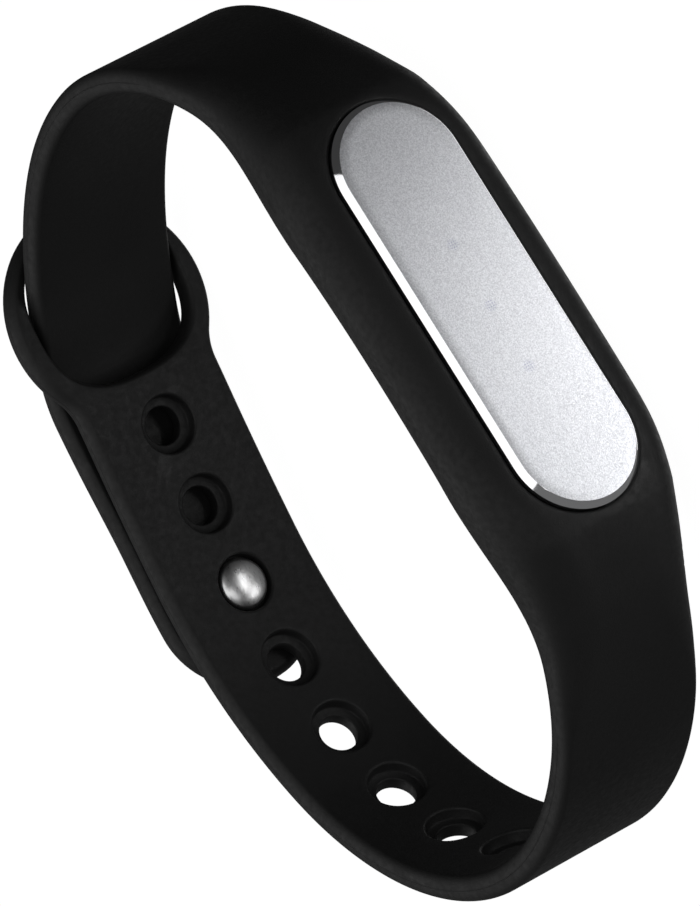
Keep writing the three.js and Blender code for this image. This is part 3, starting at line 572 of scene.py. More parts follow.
def makeLoopPlate():
    bm = bmesh.new()
    width, thickness = strapSize["holeWidth"], strapSize["holeThickness"]
    half = width / 2
    profile = strapEdge(width, thickness)
    outline = loopOutline(half)
    edge = [[(x + nx * (across - half), y + ny * (across - half), out) for across, out in profile]
            for (x, y), (nx, ny) in outline]
    addSkin(bm, edge)
    inset = [(row[0][0], row[0][1]) for row in edge]
    flatHalf = profile[0][0]
    columns = sectionSteps["flat"]
    neck = [(-loopSize["neck"], mix(-flatHalf, flatHalf, i / columns)) for i in range(1, columns)]
    boundary = inset + neck

    def slotRing(grown, level):
        a, b, power = loopSize["slotHalfLength"] + grown, loopSize["slotHalfWidth"] + grown, loopSize["slotPower"]
        ring = []
        for x, y in boundary:
            t = math.atan2(y, x - ringSize["slotShift"])
            reach = (abs(math.cos(t) / a) ** power + abs(math.sin(t) / b) ** power) ** (-1 / power)
            ring.append((ringSize["slotShift"] + reach * math.cos(t), reach * math.sin(t), level))
        return ring

    corner = loopSize["slotEdge"]
    rise = thickness / 2 - 0.1
    rings = []
    for i in range(6):
        t = math.pi / 2 * i / 5
        rings.append(slotRing(corner * (1 - math.sin(t)), rise * (1 - math.cos(t))))
    rings += [[(x, y, thickness - z) for x, y, z in ring] for ring in reversed(rings)]
    inner = patchRows(boundary, rings[0], 0.0, 4)
    outer = patchRows(boundary, rings[-1], thickness, 4)
    addSkin(bm, inner + rings + outer[::-1], closed=True)
    return bm


def makeHoleSideFlat():
    # plain strap from the pocket to the last hole, and the loop; the holes are added by the node tree
    bm = makeLoopPlate()
    bmesh.ops.translate(bm, verts=bm.verts, vec=(loopCentre, 0, 0))
    profile = strapEdge(strapSize["holeWidth"], strapSize["holeThickness"])
    start = loopCentre - holeSize["first"] - holeSize["count"] * holeSize["pitch"] + holeSize["cellReach"]
    addSkin(bm, sectionRows(spaced(pocketSize["end"], start, sectionSteps["station"]), profile), closed=True)
    return toMesh(bm, "hole side flat")


def makeStudSideFlat():
    bm = bmesh.new()
    profile = strapEdge(strapSize["studWidth"], strapSize["studThickness"])
    end = firstBend - tailSize["bendReach"] - tailSize["firstBend"]
    rows = addSkin(bm, sectionRows(spaced(pocketSize["end"], end, sectionSteps["station"]), profile), closed=True)
    addCap(bm, rows[-1])
    return toMesh(bm, "stud side flat")


def makeWrapTree():
    # repeats the hole cell and bends everything along the band's path
    tree = bpy.data.node_groups.new("bend along the wrist", "GeometryNodeTree")
    face = tree.interface
    face.new_socket("Geometry", in_out="INPUT", socket_type="NodeSocketGeometry")
    for name, kind in (("Path", "Object"), ("Cell", "Object"), ("Cells", "Int"), ("Pitch", "Float"),
                       ("First hole", "Float"), ("Side", "Float"), ("Ring origin", "Vector"), ("Skin", "Material")):
        face.new_socket(name, in_out="INPUT", socket_type="NodeSocket" + kind)
    face.new_socket("Geometry", in_out="OUTPUT", socket_type="NodeSocketGeometry")
    given = addNode(tree, "NodeGroupInput").outputs
    back = addNode(tree, "ShaderNodeMath", {0: given["Pitch"], 1: -1.0}, operation="MULTIPLY")
    offset = addNode(tree, "ShaderNodeCombineXYZ", {"X": back.outputs[0]})
    start = addNode(tree, "ShaderNodeCombineXYZ", {"X": given["First hole"]})
    row = addNode(tree, "GeometryNodeMeshLine", {
        "Count": given["Cells"], "Start Location": start.outputs[0], "Offset": offset.outputs[0]})
    cell = addNode(tree, "GeometryNodeObjectInfo", {"Object": given["Cell"]})
    copies = addNode(tree, "GeometryNodeInstanceOnPoints", {
        "Points": row.outputs["Mesh"], "Instance": cell.outputs["Geometry"]})
    real = addNode(tree, "GeometryNodeRealizeInstances", {"Geometry": copies.outputs["Instances"]})
    together = addNode(tree, "GeometryNodeJoinGeometry")
    tree.links.new(given["Geometry"], together.inputs[0])
    tree.links.new(real.outputs[0], together.inputs[0])
    welded = addNode(tree, "GeometryNodeMergeByDistance", {
        "Geometry": together.outputs[0], "Distance": 0.002 * mm})
    here = addNode(tree, "ShaderNodeSeparateXYZ", {0: addNode(tree, "GeometryNodeInputPosition").outputs[0]})
    curve = addNode(tree, "GeometryNodeObjectInfo", {"Object": given["Path"]})
    sample = addNode(tree, "GeometryNodeSampleCurve", {
        "Curves": curve.outputs["Geometry"], "Length": here.outputs["X"]}, mode="LENGTH")
    outward = addNode(tree, "ShaderNodeVectorMath", {0: sample.outputs["Tangent"], 1: (0, 0, 1)},
                      operation="CROSS_PRODUCT")
    out = addNode(tree, "ShaderNodeMath", {0: here.outputs["Z"], 1: given["Side"]}, operation="MULTIPLY")
    across = addNode(tree, "ShaderNodeMath", {0: here.outputs["Y"], 1: given["Side"]}, operation="MULTIPLY")
    lifted = addNode(tree, "ShaderNodeVectorMath", {0: outward.outputs[0], "Scale": out.outputs[0]}, operation="SCALE")
    sideways = addNode(tree, "ShaderNodeCombineXYZ", {"Z": across.outputs[0]})
    first = addNode(tree, "ShaderNodeVectorMath", {0: sample.outputs["Position"], 1: lifted.outputs[0]})
    second = addNode(tree, "ShaderNodeVectorMath", {0: first.outputs[0], 1: sideways.outputs[0]})
    third = addNode(tree, "ShaderNodeVectorMath", {0: second.outputs[0], 1: given["Ring origin"]})
    bent = addNode(tree, "GeometryNodeSetPosition", {
        "Geometry": welded.outputs[0], "Position": third.outputs[0]})
    plain = addNode(tree, "GeometryNodeRealizeInstances", {"Geometry": bent.outputs[0]})
    painted = addNode(tree, "GeometryNodeSetMaterial", {
        "Geometry": plain.outputs[0], "Material": given["Skin"]})
    addNode(tree, "NodeGroupOutput", {0: painted.outputs[0]})
    return tree


def makeGuide(name, path):
    curve = bpy.data.curves.new(name, "CURVE")
    curve.dimensions = "3D"
    spline = curve.splines.new("POLY")
    spline.points.add(len(path["points"]) - 1)
    for point, (x, y) in zip(spline.points, path["points"]):
        point.co = (x * mm, y * mm, 0, 1)
    guide = bpy.data.objects.new(name, curve)
    bpy.context.scene.collection.objects.link(guide)
    guide.hide_render = True
    return guide


def wrapOn(name, flatMesh, path, skin, guide, cell=None):
    # runs the node tree on a flat part and returns the bent mesh, in scene metres
    flatMesh.transform(Matrix.Scale(mm, 4))
    carrier = addObject(name + " flat", flatMesh)
    modifier = carrier.modifiers.new("bend", "NODES")
    modifier.node_group = wrapTree
    values = {
        "Path": guide, "Cell": cell, "Cells": holeSize["count"] if cell else 0, "Pitch": holeSize["pitch"] * mm,
        "First hole": (loopCentre - holeSize["first"]) * mm, "Side": float(path["side"]),
        "Ring origin": tuple(ringOrigin * mm), "Skin": skin,
    }
    for item in wrapTree.interface.items_tree:
        if item.in_out == "INPUT" and item.name in values and values[item.name] is not None:
            modifier[item.identifier] = values[item.name]
    carrier.update_tag()
    bpy.context.view_layer.update()
    graph = bpy.context.evaluated_depsgraph_get()
    bent = bpy.data.meshes.new_from_object(
        carrier.evaluated_get(graph), preserve_all_data_layers=True, depsgraph=graph)
    bpy.data.objects.remove(carrier)
    return bent


# the band's widened middle, with the opening for the tracker
pocketSize = {
    "width": 17.8, "lip": 4.9, "lowEdge": 0.9, "shoulderEdge": 3.2, "crown": 3.0, "flatSide": 1.2,
    "fullFrom": 10.5, "shoulderFrom": 12.0, "strapFrom": 26.0, "thinFrom": 33.0, "end": 34.0, "seatEnd": 17.0,
    "patchEnd": 23.1,
    "lipOpening": 11.26,        # silicone closes on the plate's side
    "windowInset": 0.54,
    "lipRound": 0.3,
    # wall of the opening, as growth of its outline and height: lip, groove, gripping rib, seat, window
    "wall": [(0.0, 4.34), (0.05, 4.24), (0.24, 4.2), (0.27, 4.1), (0.27, 3.9), (0.54, 3.6), (0.54, 2.65),
             (0.30, 2.45), (0.30, 2.15), (0.54, 1.95), (0.54, 1.12), (0.44, 1.0), (-0.38, 1.0), (-0.5, 0.94),
             (-0.54, 0.8)],
    "windowRound": [(0.0, 0.3), (0.04, 0.14), (0.12, 0.04)],
}
plateSize = {"length": 35.4, "width": 11.2, "bottom": 4.5, "chamfer": 0.46}


def signedPlace(s):
    path = studPath if s >= 0 else holePath
    return path, abs(s)


def pocketSection(s):
    path, distance = signedPlace(s)
    stud = s >= 0
    return bandSection(path, distance, strapSize["studWidth" if stud else "holeWidth"],
                       strapSize["studThickness" if stud else "holeThickness"])


def pocketPoint(s, across, out):
    path, distance = signedPlace(s)
    point, normal, _ = placeOn(path, distance)
    return point + normal * out, across


def outerPoint(s, v):
    # outer face by distance and by share of the half section: 0 in the middle, 1 where the side wall starts
    shape = pocketSection(s)
    share = sectionSteps["flat"] / (sectionSteps["flat"] + 2 * sectionSteps["corner"])
    flatHalf = shape["half"] - shape["highEdge"]
    highRise = shape["height"] - shape["lowRise"] - shape["flat"]
    if abs(v) <= share:
        across, out = flatHalf * abs(v) / share, shape["height"]
    else:
        t = math.pi / 2 * (1 - abs(v)) / (1 - share)
        across = flatHalf + shape["highEdge"] * math.cos(t)
        out = shape["lowRise"] + shape["flat"] + highRise * math.sin(t)
    return pocketPoint(s, math.copysign(across, v), out)


def innerPoint(s, v):
    shape = pocketSection(s)
    share = sectionSteps["flat"] / (sectionSteps["flat"] + 2 * sectionSteps["corner"])
    flatHalf = shape["half"] - shape["lowEdge"]
    if abs(v) <= share:
        across, out = flatHalf * abs(v) / share, 0.0
    else:
        t = math.pi / 2 * (abs(v) - share) / (1 - share)
        across, out = flatHalf + shape["lowEdge"] * math.sin(t), shape["lowRise"] * (1 - math.cos(t))
    return pocketPoint(s, math.copysign(across, v), out)


def shareOf(s, across, edge):
    # the v of a point that lies at that distance across
    shape = pocketSection(s)
    share = sectionSteps["flat"] / (sectionSteps["flat"] + 2 * sectionSteps["corner"])
    flatHalf = shape["half"] - shape[edge]
    if abs(across) <= flatHalf:
        v = share * abs(across) / flatHalf
    else:
        v = share + (1 - share) * 2 / math.pi * math.asin(min((abs(across) - flatHalf) / shape[edge], 1.0))
    return math.copysign(v, across)


def findOnFace(face, edge, x, across):
    # distance and v of the face's point over a place in plan
    s = x
    for _ in range(12):
        s += x - face(s, shareOf(s, across, edge))[0][0]
    return s, shareOf(s, across, edge)


def stadiumAt(anchor, grown):
    # point of the opening's outline that faces an anchor in plan
    radius = pocketSize["lipOpening"] / 2 + grown
    reach = (plateSize["length"] - plateSize["width"]) / 2
    x, across = anchor
    if abs(x) <= reach:
        return x, math.copysign(radius, across)
    t = math.atan2(across, abs(x) - reach)
    return math.copysign(reach + radius * math.cos(t), x), radius * math.sin(t)


def patchBorder():
    steps = sectionSteps["flat"] + 2 * sectionSteps["corner"]
    end = pocketSize["patchEnd"]
    stations = round(2 * end / sectionSteps["station"])
    border = [(mix(-end, end, i / stations), 1.0) for i in range(stations)]
    border += [(end, mix(1.0, -1.0, i / steps)) for i in range(steps)]
    border += [(mix(end, -end, i / stations), -1.0) for i in range(stations)]
    border += [(-end, mix(-1.0, 1.0, i / steps)) for i in range(steps)]
    return border


def facePatch(face, edge, grown, rings, level=None):
    # rows from the border to the opening's edge, which is lifted to a level when one is given
    border = patchBorder()
    anchors = []
    for s, v in border:
        point, across = face(s, v)
        anchors.append((point[0], across))
    edges = [findOnFace(face, edge, *stadiumAt(anchor, grown)) for anchor in anchors]
    rows = []
    for k in range(rings + 1):
        share = k / rings
        row = []
        for (s0, v0), (s1, v1) in zip(border, edges):
            point, across = face(mix(s0, s1, share), mix(v0, v1, share))
            if level is not None:
                rest, _ = face(s1, v1)
                point = point + np.array([0, -(level + rest[1]) * smoothStep(share, 0.25, 1.0)])
            row.append((point[0], point[1], across))
        rows.append(row)
    return rows, anchors


def makePocket():
    bm = bmesh.new()
    lip, corner, window = pocketSize["lip"], pocketSize["lipRound"], pocketSize["windowInset"]
    outer, anchors = facePatch(outerPoint, "highEdge", corner, 20, level=lip)
    inner, _ = facePatch(innerPoint, "lowEdge", -window + 0.25, 12)
    skinLevels = [point[1] for point in inner[-1]]

    def wallRing(grown, level):
        return [(x, -level, across) for x, across in (stadiumAt(anchor, grown) for anchor in anchors)]

    rows = list(outer)
    for i in range(1, 5):    # rounded lip
        t = math.pi / 2 * i / 4
        rows.append(wallRing(corner * (1 - math.sin(t)), lip - corner * (1 - math.cos(t))))
    rows += [wallRing(grown, level) for grown, level in pocketSize["wall"]]
    for grown, drop in pocketSize["windowRound"]:
        ring = [stadiumAt(anchor, grown - window) for anchor in anchors]
        rows.append([(x, y - drop, across) for (x, across), y in zip(ring, skinLevels)])
    rows += inner[::-1]
    addSkin(bm, rows, closed=True)
    # side walls between the two faces, then the shoulders down to the straps
    end = pocketSize["patchEnd"]
    stations = round(2 * end / sectionSteps["station"])
    for side in (1, -1):
        walls = []
        for i in range(stations + 1):
            s = mix(-end, end, i / stations)
            profile = edgeProfile(**pocketSection(s))
            first, last = sectionSteps["corner"], len(profile) - sectionSteps["corner"]
            wall = [pocketPoint(s, side * across, out) for across, out in profile[first:last]]
            walls.append([(point[0], point[1], across) for point, across in wall])
        addSkin(bm, walls)
        ends = []
        for distance in spaced(end, pocketSize["end"], sectionSteps["station"]):
            section = closedSection(edgeProfile(**pocketSection(side * distance)))
            placed = [pocketPoint(side * distance, across, out) for across, out in section]
            ends.append([(point[0], point[1], across) for point, across in placed])
        addSkin(bm, ends, closed=True)
    return bm


def openEdges(mesh):
    bm = bmesh.new()
    bm.from_mesh(mesh)
    count = sum(1 for edge in bm.edges if len(edge.link_faces) != 2)
    bm.free()
    return count


def joinMeshes(name, meshes, weld):
    bm = bmesh.new()
    for mesh in meshes:
        bm.from_mesh(mesh)
    return toMesh(bm, name, weld)


silicone = makeSilicone(siliconeLook)
wrapTree = makeWrapTree()
holeGuide = makeGuide("hole side guide", holePath)
studGuide = makeGuide("stud side guide", studPath)
cellMesh = makeHoleCell()
cellMesh.transform(Matrix.Scale(mm, 4))
cellObject = addObject("hole cell", cellMesh)
cellObject.hide_render = True

holeSide = wrapOn("hole side", makeHoleSideFlat(), holePath, silicone, holeGuide, cellObject)
studSide = wrapOn("stud side", makeStudSideFlat(), studPath, silicone, studGuide)
pocket = toMesh(makePocket(), "pocket")
ringToScene(pocket)
bandMesh = joinMeshes("wristband", [holeSide, studSide, pocket], 0.02 * mm)
finishMesh(bandMesh, silicone, 50)
wristband = addObject("wristband", bandMesh)
print("wristband:", len(bandMesh.polygons), "faces,", openEdges(bandMesh), "open edges")
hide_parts("pocket_frame", "hole_strap", "strap_loop", "stud_strap")
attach(wristband, "band")


def studOnTail():
    target, _, _ = placeOn(holePath, studDistance, tailOffset(studDistance))
    nearest = int(np.argmin(np.linalg.norm(studPath["points"] - target, axis=1)))
    return studPath["lengths"][nearest]


studSize = {
    "head": 4.15, "headHeight": 1.2, "headRise": 0.35, "post": 2.3,
    "disc": 5.0, "discThickness": 0.5, "clearance": 0.15, "seatDepth": 0.6,
}
tailStud = studOnTail()


def makeTailRoot():
    bm = bmesh.new()
    profile = strapEdge(strapSize["studWidth"], strapSize["studThickness"])
    start = firstBend - tailSize["bendReach"] - tailSize["firstBend"]
    rows = addSkin(bm, sectionRows(spaced(start, tailSplit, 0.3), profile), closed=True)
    addCap(bm, rows[0])
    addCap(bm, rows[-1])
    return toMesh(bm, "tail root flat")


def makeTailTip():
    bm = bmesh.new()
    thickness = strapSize["studThickness"]
    profile = strapEdge(strapSize["studWidth"], thickness)
    half = strapSize["studWidth"] / 2
    plainEnd = tailStud - 5.6
    rows = addSkin(bm, sectionRows(spaced(tailSplit, plainEnd, 0.35), profile), closed=True)
    addCap(bm, rows[0])
    round0 = tailLength - half
    outline = [((x, half), (0, 1)) for x in spaced(plainEnd, round0, 0.6)]
    for i in range(1, 40):
        t = math.pi / 2 - math.pi * i / 40
        outline.append(((round0 + half * math.cos(t), half * math.sin(t)), (math.cos(t), math.sin(t))))
    outline += [((x, -half), (0, -1)) for x in spaced(round0, plainEnd, 0.6)]
    edge = [[(x + nx * (across - half), y + ny * (across - half), out) for across, out in profile]
            for (x, y), (nx, ny) in outline]
    addSkin(bm, edge)
    columns = sectionSteps["flat"]
    flatHalf = profile[0][0]
    boundary = [(row[0][0], row[0][1]) for row in edge]
    boundary += [(plainEnd, mix(-flatHalf, flatHalf, i / columns)) for i in range(1, columns)]
    angles = [math.atan2(y, x - tailStud) for x, y in boundary]
    seat = studSize["disc"] + 2 * studSize["clearance"]
    bore = studSize["post"] + 2 * studSize["clearance"]
    rings = holeProfile(thickness, seat, studSize["seatDepth"], bore, thickness)
    circles = [[(tailStud + r * math.cos(a), r * math.sin(a), z) for a in angles] for r, z in rings]
    outer = patchRows(boundary, circles[0], thickness, 6)
    inner = patchRows(boundary, circles[-1], 0.0, 7)
    addSkin(bm, outer + circles + inner[::-1], closed=True)
    return toMesh(bm, "tail tip flat")


def bendAt(piece, first, second, middle):
    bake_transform(piece)


for name, flat, node, bodies, bend in (
        ("tail_near", makeTailRoot, "tail_root", ("band", "tail_first"), firstBend),
        ("tail_far", makeTailTip, "tail_tip", ("tail_first", "tail_end"), secondBend)):
    mesh = wrapOn(name, flat(), studPath, silicone, studGuide)
    piece = addObject(name, finishMesh(mesh, silicone, 50))
    print(name + ":", len(mesh.polygons), "faces,", openEdges(mesh), "open edges")
    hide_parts(node)
    bendAt(piece, *bodies, bend)


# tumbled aluminium: satin, with fine random scratches
studMetal = makeFinish("tumbled aluminium", {
    "colour": "#cfcfcf", "shade": "#b2b2b3", "grain": 0.9, "detail": 3.0, "mottle": 0.6,
    "gloss": 0.5, "glossDetail": 4.0, "stretch": (1, 1, 6), "roughness": (0.26, 0.38),
    "raised": "gloss", "strength": 0.5, "shader": {"Metallic": 1.0},
})


def studAxes():
    point, normal, _ = placeOn(holePath, studDistance)
    matrix = Matrix(((normal[1], 0, normal[0]), (-normal[0], 0, normal[1]), (0, -1, 0))).to_4x4()
    matrix.translation = Vector((point[0] + ringOrigin[0], point[1] + ringOrigin[1], ringOrigin[2]))
    return Matrix.Scale(mm, 4) @ matrix


def turnedMesh(name, profile, sides=96):
    # profile of (radius, height) turned round Z; both ends lie on the axis
    bm = bmesh.new()
    rows = [[(r * math.cos(2 * math.pi * j / sides), r * math.sin(2 * math.pi * j / sides), z)
             for j in range(sides)] for r, z in profile]
    made = addSkin(bm, rows, closed=True)
    addCap(bm, made[0])
    addCap(bm, made[-1])
    mesh = toMesh(bm, name)
    mesh.transform(studAxes())
    return finishMesh(mesh, studMetal, 40)


def arcProfile(radius, centre, start, end, steps):
    return [(centre[0] + radius[0] * math.cos(t), centre[1] + radius[1] * math.sin(t))
            for t in (mix(start, end, i / steps) for i in range(steps + 1))]


def studHeadProfile():
    back = studSize["headHeight"] - studSize["headRise"]
    radius = studSize["head"] / 2
    rim = 0.35
    dome = arcProfile((radius, studSize["headHeight"] - rim), (0, back - rim), -math.pi / 2, 0, 28)
    dome[0] = (0.004, dome[0][1])
    socket = studSize["post"] / 2 + 0.05
    socketEnd = back - 0.5 * studSize["headHeight"] - 0.1
    return dome + [(radius, back - 0.12), (radius - 0.04, back - 0.04), (radius - 0.12, back),
                   (socket + 0.04, back), (socket, back - 0.04), (socket, socketEnd), (0.004, socketEnd)]


def studBaseProfile():
    back = studSize["headHeight"] - studSize["headRise"]
    outer = tailOffset(studDistance) + strapSize["studThickness"]
    under = outer - studSize["discThickness"] - 0.1 + studSize["clearance"]
    top = under + studSize["discThickness"]
    post, disc = studSize["post"] / 2, studSize["disc"] / 2
    rounded = arcProfile((0.2, 0.2), (disc - 0.2, top - 0.2), 0, math.pi / 2, 6)
    dish = [(disc * share, top - 0.08 * (1 - share / 0.8) ** 0.5) for share in (0.78, 0.6, 0.4, 0.2)]
    return [(0.004, back - 0.5 * studSize["headHeight"]), (post - 0.06, back - 0.5 * studSize["headHeight"]),
            (post, back - 0.5 * studSize["headHeight"] + 0.06), (post, under), (disc - 0.05, under),
            (disc, under + 0.05)] + rounded + dish + [(0.004, top - 0.08)]


for name, profile, node in (
        ("stud_head", studHeadProfile(), "stud_cap"),
        ("stud_disc", studBaseProfile(), "stud_base")):
    piece = addObject(name, turnedMesh(name, profile))
    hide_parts(node)
    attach(piece, "tail_end")
print("stud and tail made")


trackerAxes = Matrix.Scale(mm, 4) @ Matrix.Translation(Vector(ringOrigin)) @ Matrix.Rotation(math.pi / 2, 4, "X")


def stadiumRing(length, width, level, steps=40):
    radius = width / 2
    reach = length / 2 - radius
    ring = []
    for end in (1, -1):
        for i in range(steps + 1):
            t = -math.pi / 2 + math.pi * i / steps
            ring.append((end * (reach + radius * math.cos(t)), end * radius * math.sin(t), level))
        straight = 24
        start, stop = ring[-1], (-end * reach, end * radius, level)
        ring += [tuple(mix(np.array(start), np.array(stop), i / straight)) for i in range(1, straight)]
    return ring


def stadiumPiece(name, length, width, levels):
    # flat faces are closed with rows towards the middle line, so that they stay even
    bm = bmesh.new()
    rows = [stadiumRing(length - 2 * inset, width - 2 * inset, level) for level, inset in levels]
    made = addSkin(bm, rows, closed=True)
    closeStadium(bm, made[0])
    closeStadium(bm, made[-1])
    return toMesh(bm, name)


def closeStadium(bm, row):
    # concentric rows towards the middle line
    count = len(row)
    points = np.array([list(vert.co) for vert in row])
    half = points[:, 1].max()
    reach = points[:, 0].max() - half
    outer = row
    for k in range(1, 7):
        share = 1 - k / 6
        ring = []
        for x, y, z in points:
            middle = min(max(x, -reach), reach)
            ring.append(bm.verts.new((middle + (x - middle) * share, y * share, z)))
        for j in range(count):
            n = (j + 1) % count
            bm.faces.new((outer[j], outer[n], ring[n], ring[j]))
        outer = ring


# diamond-cut edge: a bright mirror with faint turning lines
edgeLook = {
    "colour": "#e8e8ea", "shade": "#e8e8ea", "grain": 1.2, "gloss": 1.2, "roughness": (0.05, 0.10),
    "raised": "gloss", "depth": 0.004, "strength": 0.3, "shader": {"Metallic": 1.0},
}


def makePlate():
    top = ringSize["plateTop"]
    cut = plateSize["chamfer"]
    soft = 0.03
    mesh = stadiumPiece("face plate", plateSize["length"], plateSize["width"], [
        (plateSize["bottom"], 0.1), (plateSize["bottom"] + 0.1, 0.0), (top - cut - soft, 0.0), (top - cut + soft, soft),
        (top - soft, cut - soft), (top - 0.006, cut), (top, cut + 0.03)])
    mesh.materials.append(makeBlastedAluminium(plateLook))
    mesh.materials.append(makeFinish("polished aluminium edge", edgeLook))
    for polygon in mesh.polygons:
        flat = abs(polygon.normal.z) > 0.97 and polygon.center.z > top - 0.02
        polygon.material_index = 0 if flat else 1
        polygon.use_smooth = not flat
    mesh.set_sharp_from_angle(angle=math.radians(25))
    mesh.transform(trackerAxes)
    return mesh


plate = addObject("tracker_plate", makePlate())
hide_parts("face_plate")
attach(plate, "capsule")

housingSize = {
    "length": 35.8, "width": 11.6, "bottom": -2.3, "top": 4.1, "wall": 0.8, "floor": 0.9, "belly": 1.0,
    "seat": 1.2, "grooveLow": 1.7, "grooveHigh": 2.9, "groove": 0.3, "boardLevel": 2.2, "upperWidth": 9.6,
    "pin": 1.6, "pinMiddle": -14.2, "pinSpacing": 3.2,
    # rise and inset of the rounded underside, from its flat middle out to the wall
    "bellyCurve": [(0, 1.8), (0.06, 1.3), (0.2, 0.9), (0.45, 0.5), (0.8, 0.25), (1.2, 0.08), (1.7, 0)],
}


def makeHousing():
    size = housingSize
    belly = size["belly"]
    lower = belly + size["wall"]
    upperInset = (size["width"] - size["upperWidth"]) / 2
    bottom, seat, top = size["bottom"], size["seat"], size["top"]
    outside = [(bottom + rise, belly + inset) for rise, inset in size["bellyCurve"]]
    outside += [(seat - 0.08, belly), (seat, belly - 0.08), (seat, 0.1), (seat + 0.1, 0.0),
                (size["grooveLow"], 0.0), (size["grooveLow"] + 0.3, size["groove"]),
                (size["grooveHigh"] - 0.3, size["groove"]), (size["grooveHigh"], 0.0),
                (top - 0.3, 0.0), (top - 0.09, 0.06), (top, 0.2)]
    inside = [(top, upperInset), (size["boardLevel"] - 0.1, upperInset), (size["boardLevel"] - 0.1, lower),
              (bottom + size["floor"], lower)]
    # the upper hollow is narrower across than the stadium's even inset would make it lengthwise
    bm = bmesh.new()
    rows = [stadiumRing(size["length"] - 2 * inset, size["width"] - 2 * inset, level) for level, inset in outside]
    rows += [stadiumRing(size["length"] - 2 * size["wall"] - (2 * belly if inset == lower else 0),
                         size["width"] - 2 * inset, level) for level, inset in inside]
    made = addSkin(bm, rows, closed=True)
    closeStadium(bm, made[0])
    closeStadium(bm, made[-1])
    carrier = addObject("housing body", toMesh(bm, "housing"))
    for side in (1, -1):
        drill = bmesh.new()
        place = Matrix.Translation((size["pinMiddle"], side * size["pinSpacing"] / 2, bottom))
        bmesh.ops.create_cone(drill, cap_ends=True, segments=48, radius1=size["pin"] / 2, radius2=size["pin"] / 2,
                              depth=4, matrix=place)
        tool = bpy.data.meshes.new("pin hole")
        drill.to_mesh(tool)
        drill.free()
        drillObject = addObject(f"pin hole {side}", tool)
        cutting = carrier.modifiers.new("pin hole", "BOOLEAN")
        cutting.object, cutting.operation, cutting.solver = drillObject, "DIFFERENCE", "EXACT"
    bpy.context.view_layer.update()
    graph = bpy.context.evaluated_depsgraph_get()
    mesh = bpy.data.meshes.new_from_object(carrier.evaluated_get(graph))
    for old in [o for o in bpy.data.objects if o.name.startswith(("pin hole", "housing body"))]:
        bpy.data.objects.remove(old)
    mesh.transform(trackerAxes)
    return mesh


# moulded polycarbonate: near black, satin, with very fine texture
polycarbonate = makeFinish("moulded polycarbonate", {
    "colour": "#1f2023", "shade": "#2a2b2f", "grain": 0.4, "gloss": 0.76, "roughness": (0.30, 0.42),
    "shader": {"IOR": 1.58},
})
housing = addObject("tracker_housing", finishMesh(makeHousing(), polycarbonate, 30))
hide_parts("housing")
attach(housing, "capsule")
print("tracker made")


# the parts inside the tracker keep their CAD shapes
metal = {"Metallic": 1.0}
finishLook = {
    # glossy green lacquer over copper tracks that stand slightly proud
    "solder mask": {"colour": "#123f2a", "shade": "#2a6b45", "grain": 0.6, "gloss": 0.6, "roughness": (0.28, 0.42),
                    "track": 1.4, "depth": 0.03, "shader": {"IOR": 1.5, "Coat Weight": 0.4}},
    # black epoxy moulding compound, matte with a fine grain
    "epoxy moulding compound": {"colour": "#1b1b1e", "shade": "#26262a", "grain": 0.25, "gloss": 0.475,
                                "roughness": (0.45, 0.6), "shader": {"IOR": 1.55}},
    # fired ceramic, off white
    "fired ceramic": {"colour": "#e4e0d4", "shade": "#d2ccbc", "grain": 0.5, "gloss": 0.95,
                      "roughness": (0.4, 0.55), "shader": {"IOR": 1.7}},
    # gold flash over nickel, softly worn
    "gold plating": {"colour": "#e0b65c", "shade": "#c39a48", "grain": 0.6, "gloss": 1.38, "mottle": 0.7,
                     "roughness": (0.18, 0.32), "shader": metal},
    # laminated aluminium foil with small creases
    "laminated foil": {"colour": "#b4b9be", "shade": "#9a9fa5", "grain": 1.6, "gloss": 3.68, "mottle": 0.7,
                       "roughness": (0.3, 0.48), "depth": 0.05, "shader": metal},
    # amber polyimide film
    "polyimide film": {"colour": "#c08a28", "shade": "#a87420", "grain": 1.1, "gloss": 2.09,
                       "roughness": (0.22, 0.36), "shader": {"IOR": 1.7}},
    # frosted acrylic that carries the lights to the face
    "frosted acrylic": {"colour": "#dfe5ea", "shade": "#cfd6dc", "grain": 0.5, "gloss": 0.95,
                        "roughness": (0.25, 0.4), "shader": {"IOR": 1.49}},
    # drawn steel
    "drawn steel": {"colour": "#b9babd", "shade": "#a3a4a8", "grain": 0.5, "gloss": 1.15, "mottle": 0.7,
                    "roughness": (0.22, 0.36), "shader": metal},
    # sintered tungsten alloy, dull and grainy
    "sintered tungsten": {"colour": "#74767b", "shade": "#5f6166", "grain": 0.3, "gloss": 0.69, "mottle": 0.7,
                          "roughness": (0.4, 0.58), "depth": 0.02, "shader": metal},
    # wire insulation, soft plastic with a low gloss
    "red insulation": {"colour": "#a8231d", "shade": "#8c1b16", "grain": 0.6, "gloss": 1.14,
                       "roughness": (0.35, 0.5)},
    "black insulation": {"colour": "#161616", "shade": "#222222", "grain": 0.6, "gloss": 1.14,
                         "roughness": (0.35, 0.5)},
}
finishOf = {
    "solder mask": ("circuit_board", "battery_board"),
    "epoxy moulding compound": ("bluetooth_chip", "flash_memory", "accelerometer", "charger_chip"),
    "fired ceramic": ("antenna",),
    "gold plating": ("contact_pin_1", "contact_pin_2", "contact_spring_1", "contact_spring_2"),
    "laminated foil": ("battery_cell",),
    "polyimide film": ("plate_gasket", "battery_tape"),
    "frosted acrylic": ("light_guide", "led_1", "led_2", "led_3"),
    "drawn steel": ("crystal", "motor_base", "motor_case", "motor_shaft"),
    "sintered tungsten": ("motor_rotor",),
    "red insulation": ("battery_lead_red", "motor_lead_1"),
    "black insulation": ("battery_lead_black", "motor_lead_2"),
}
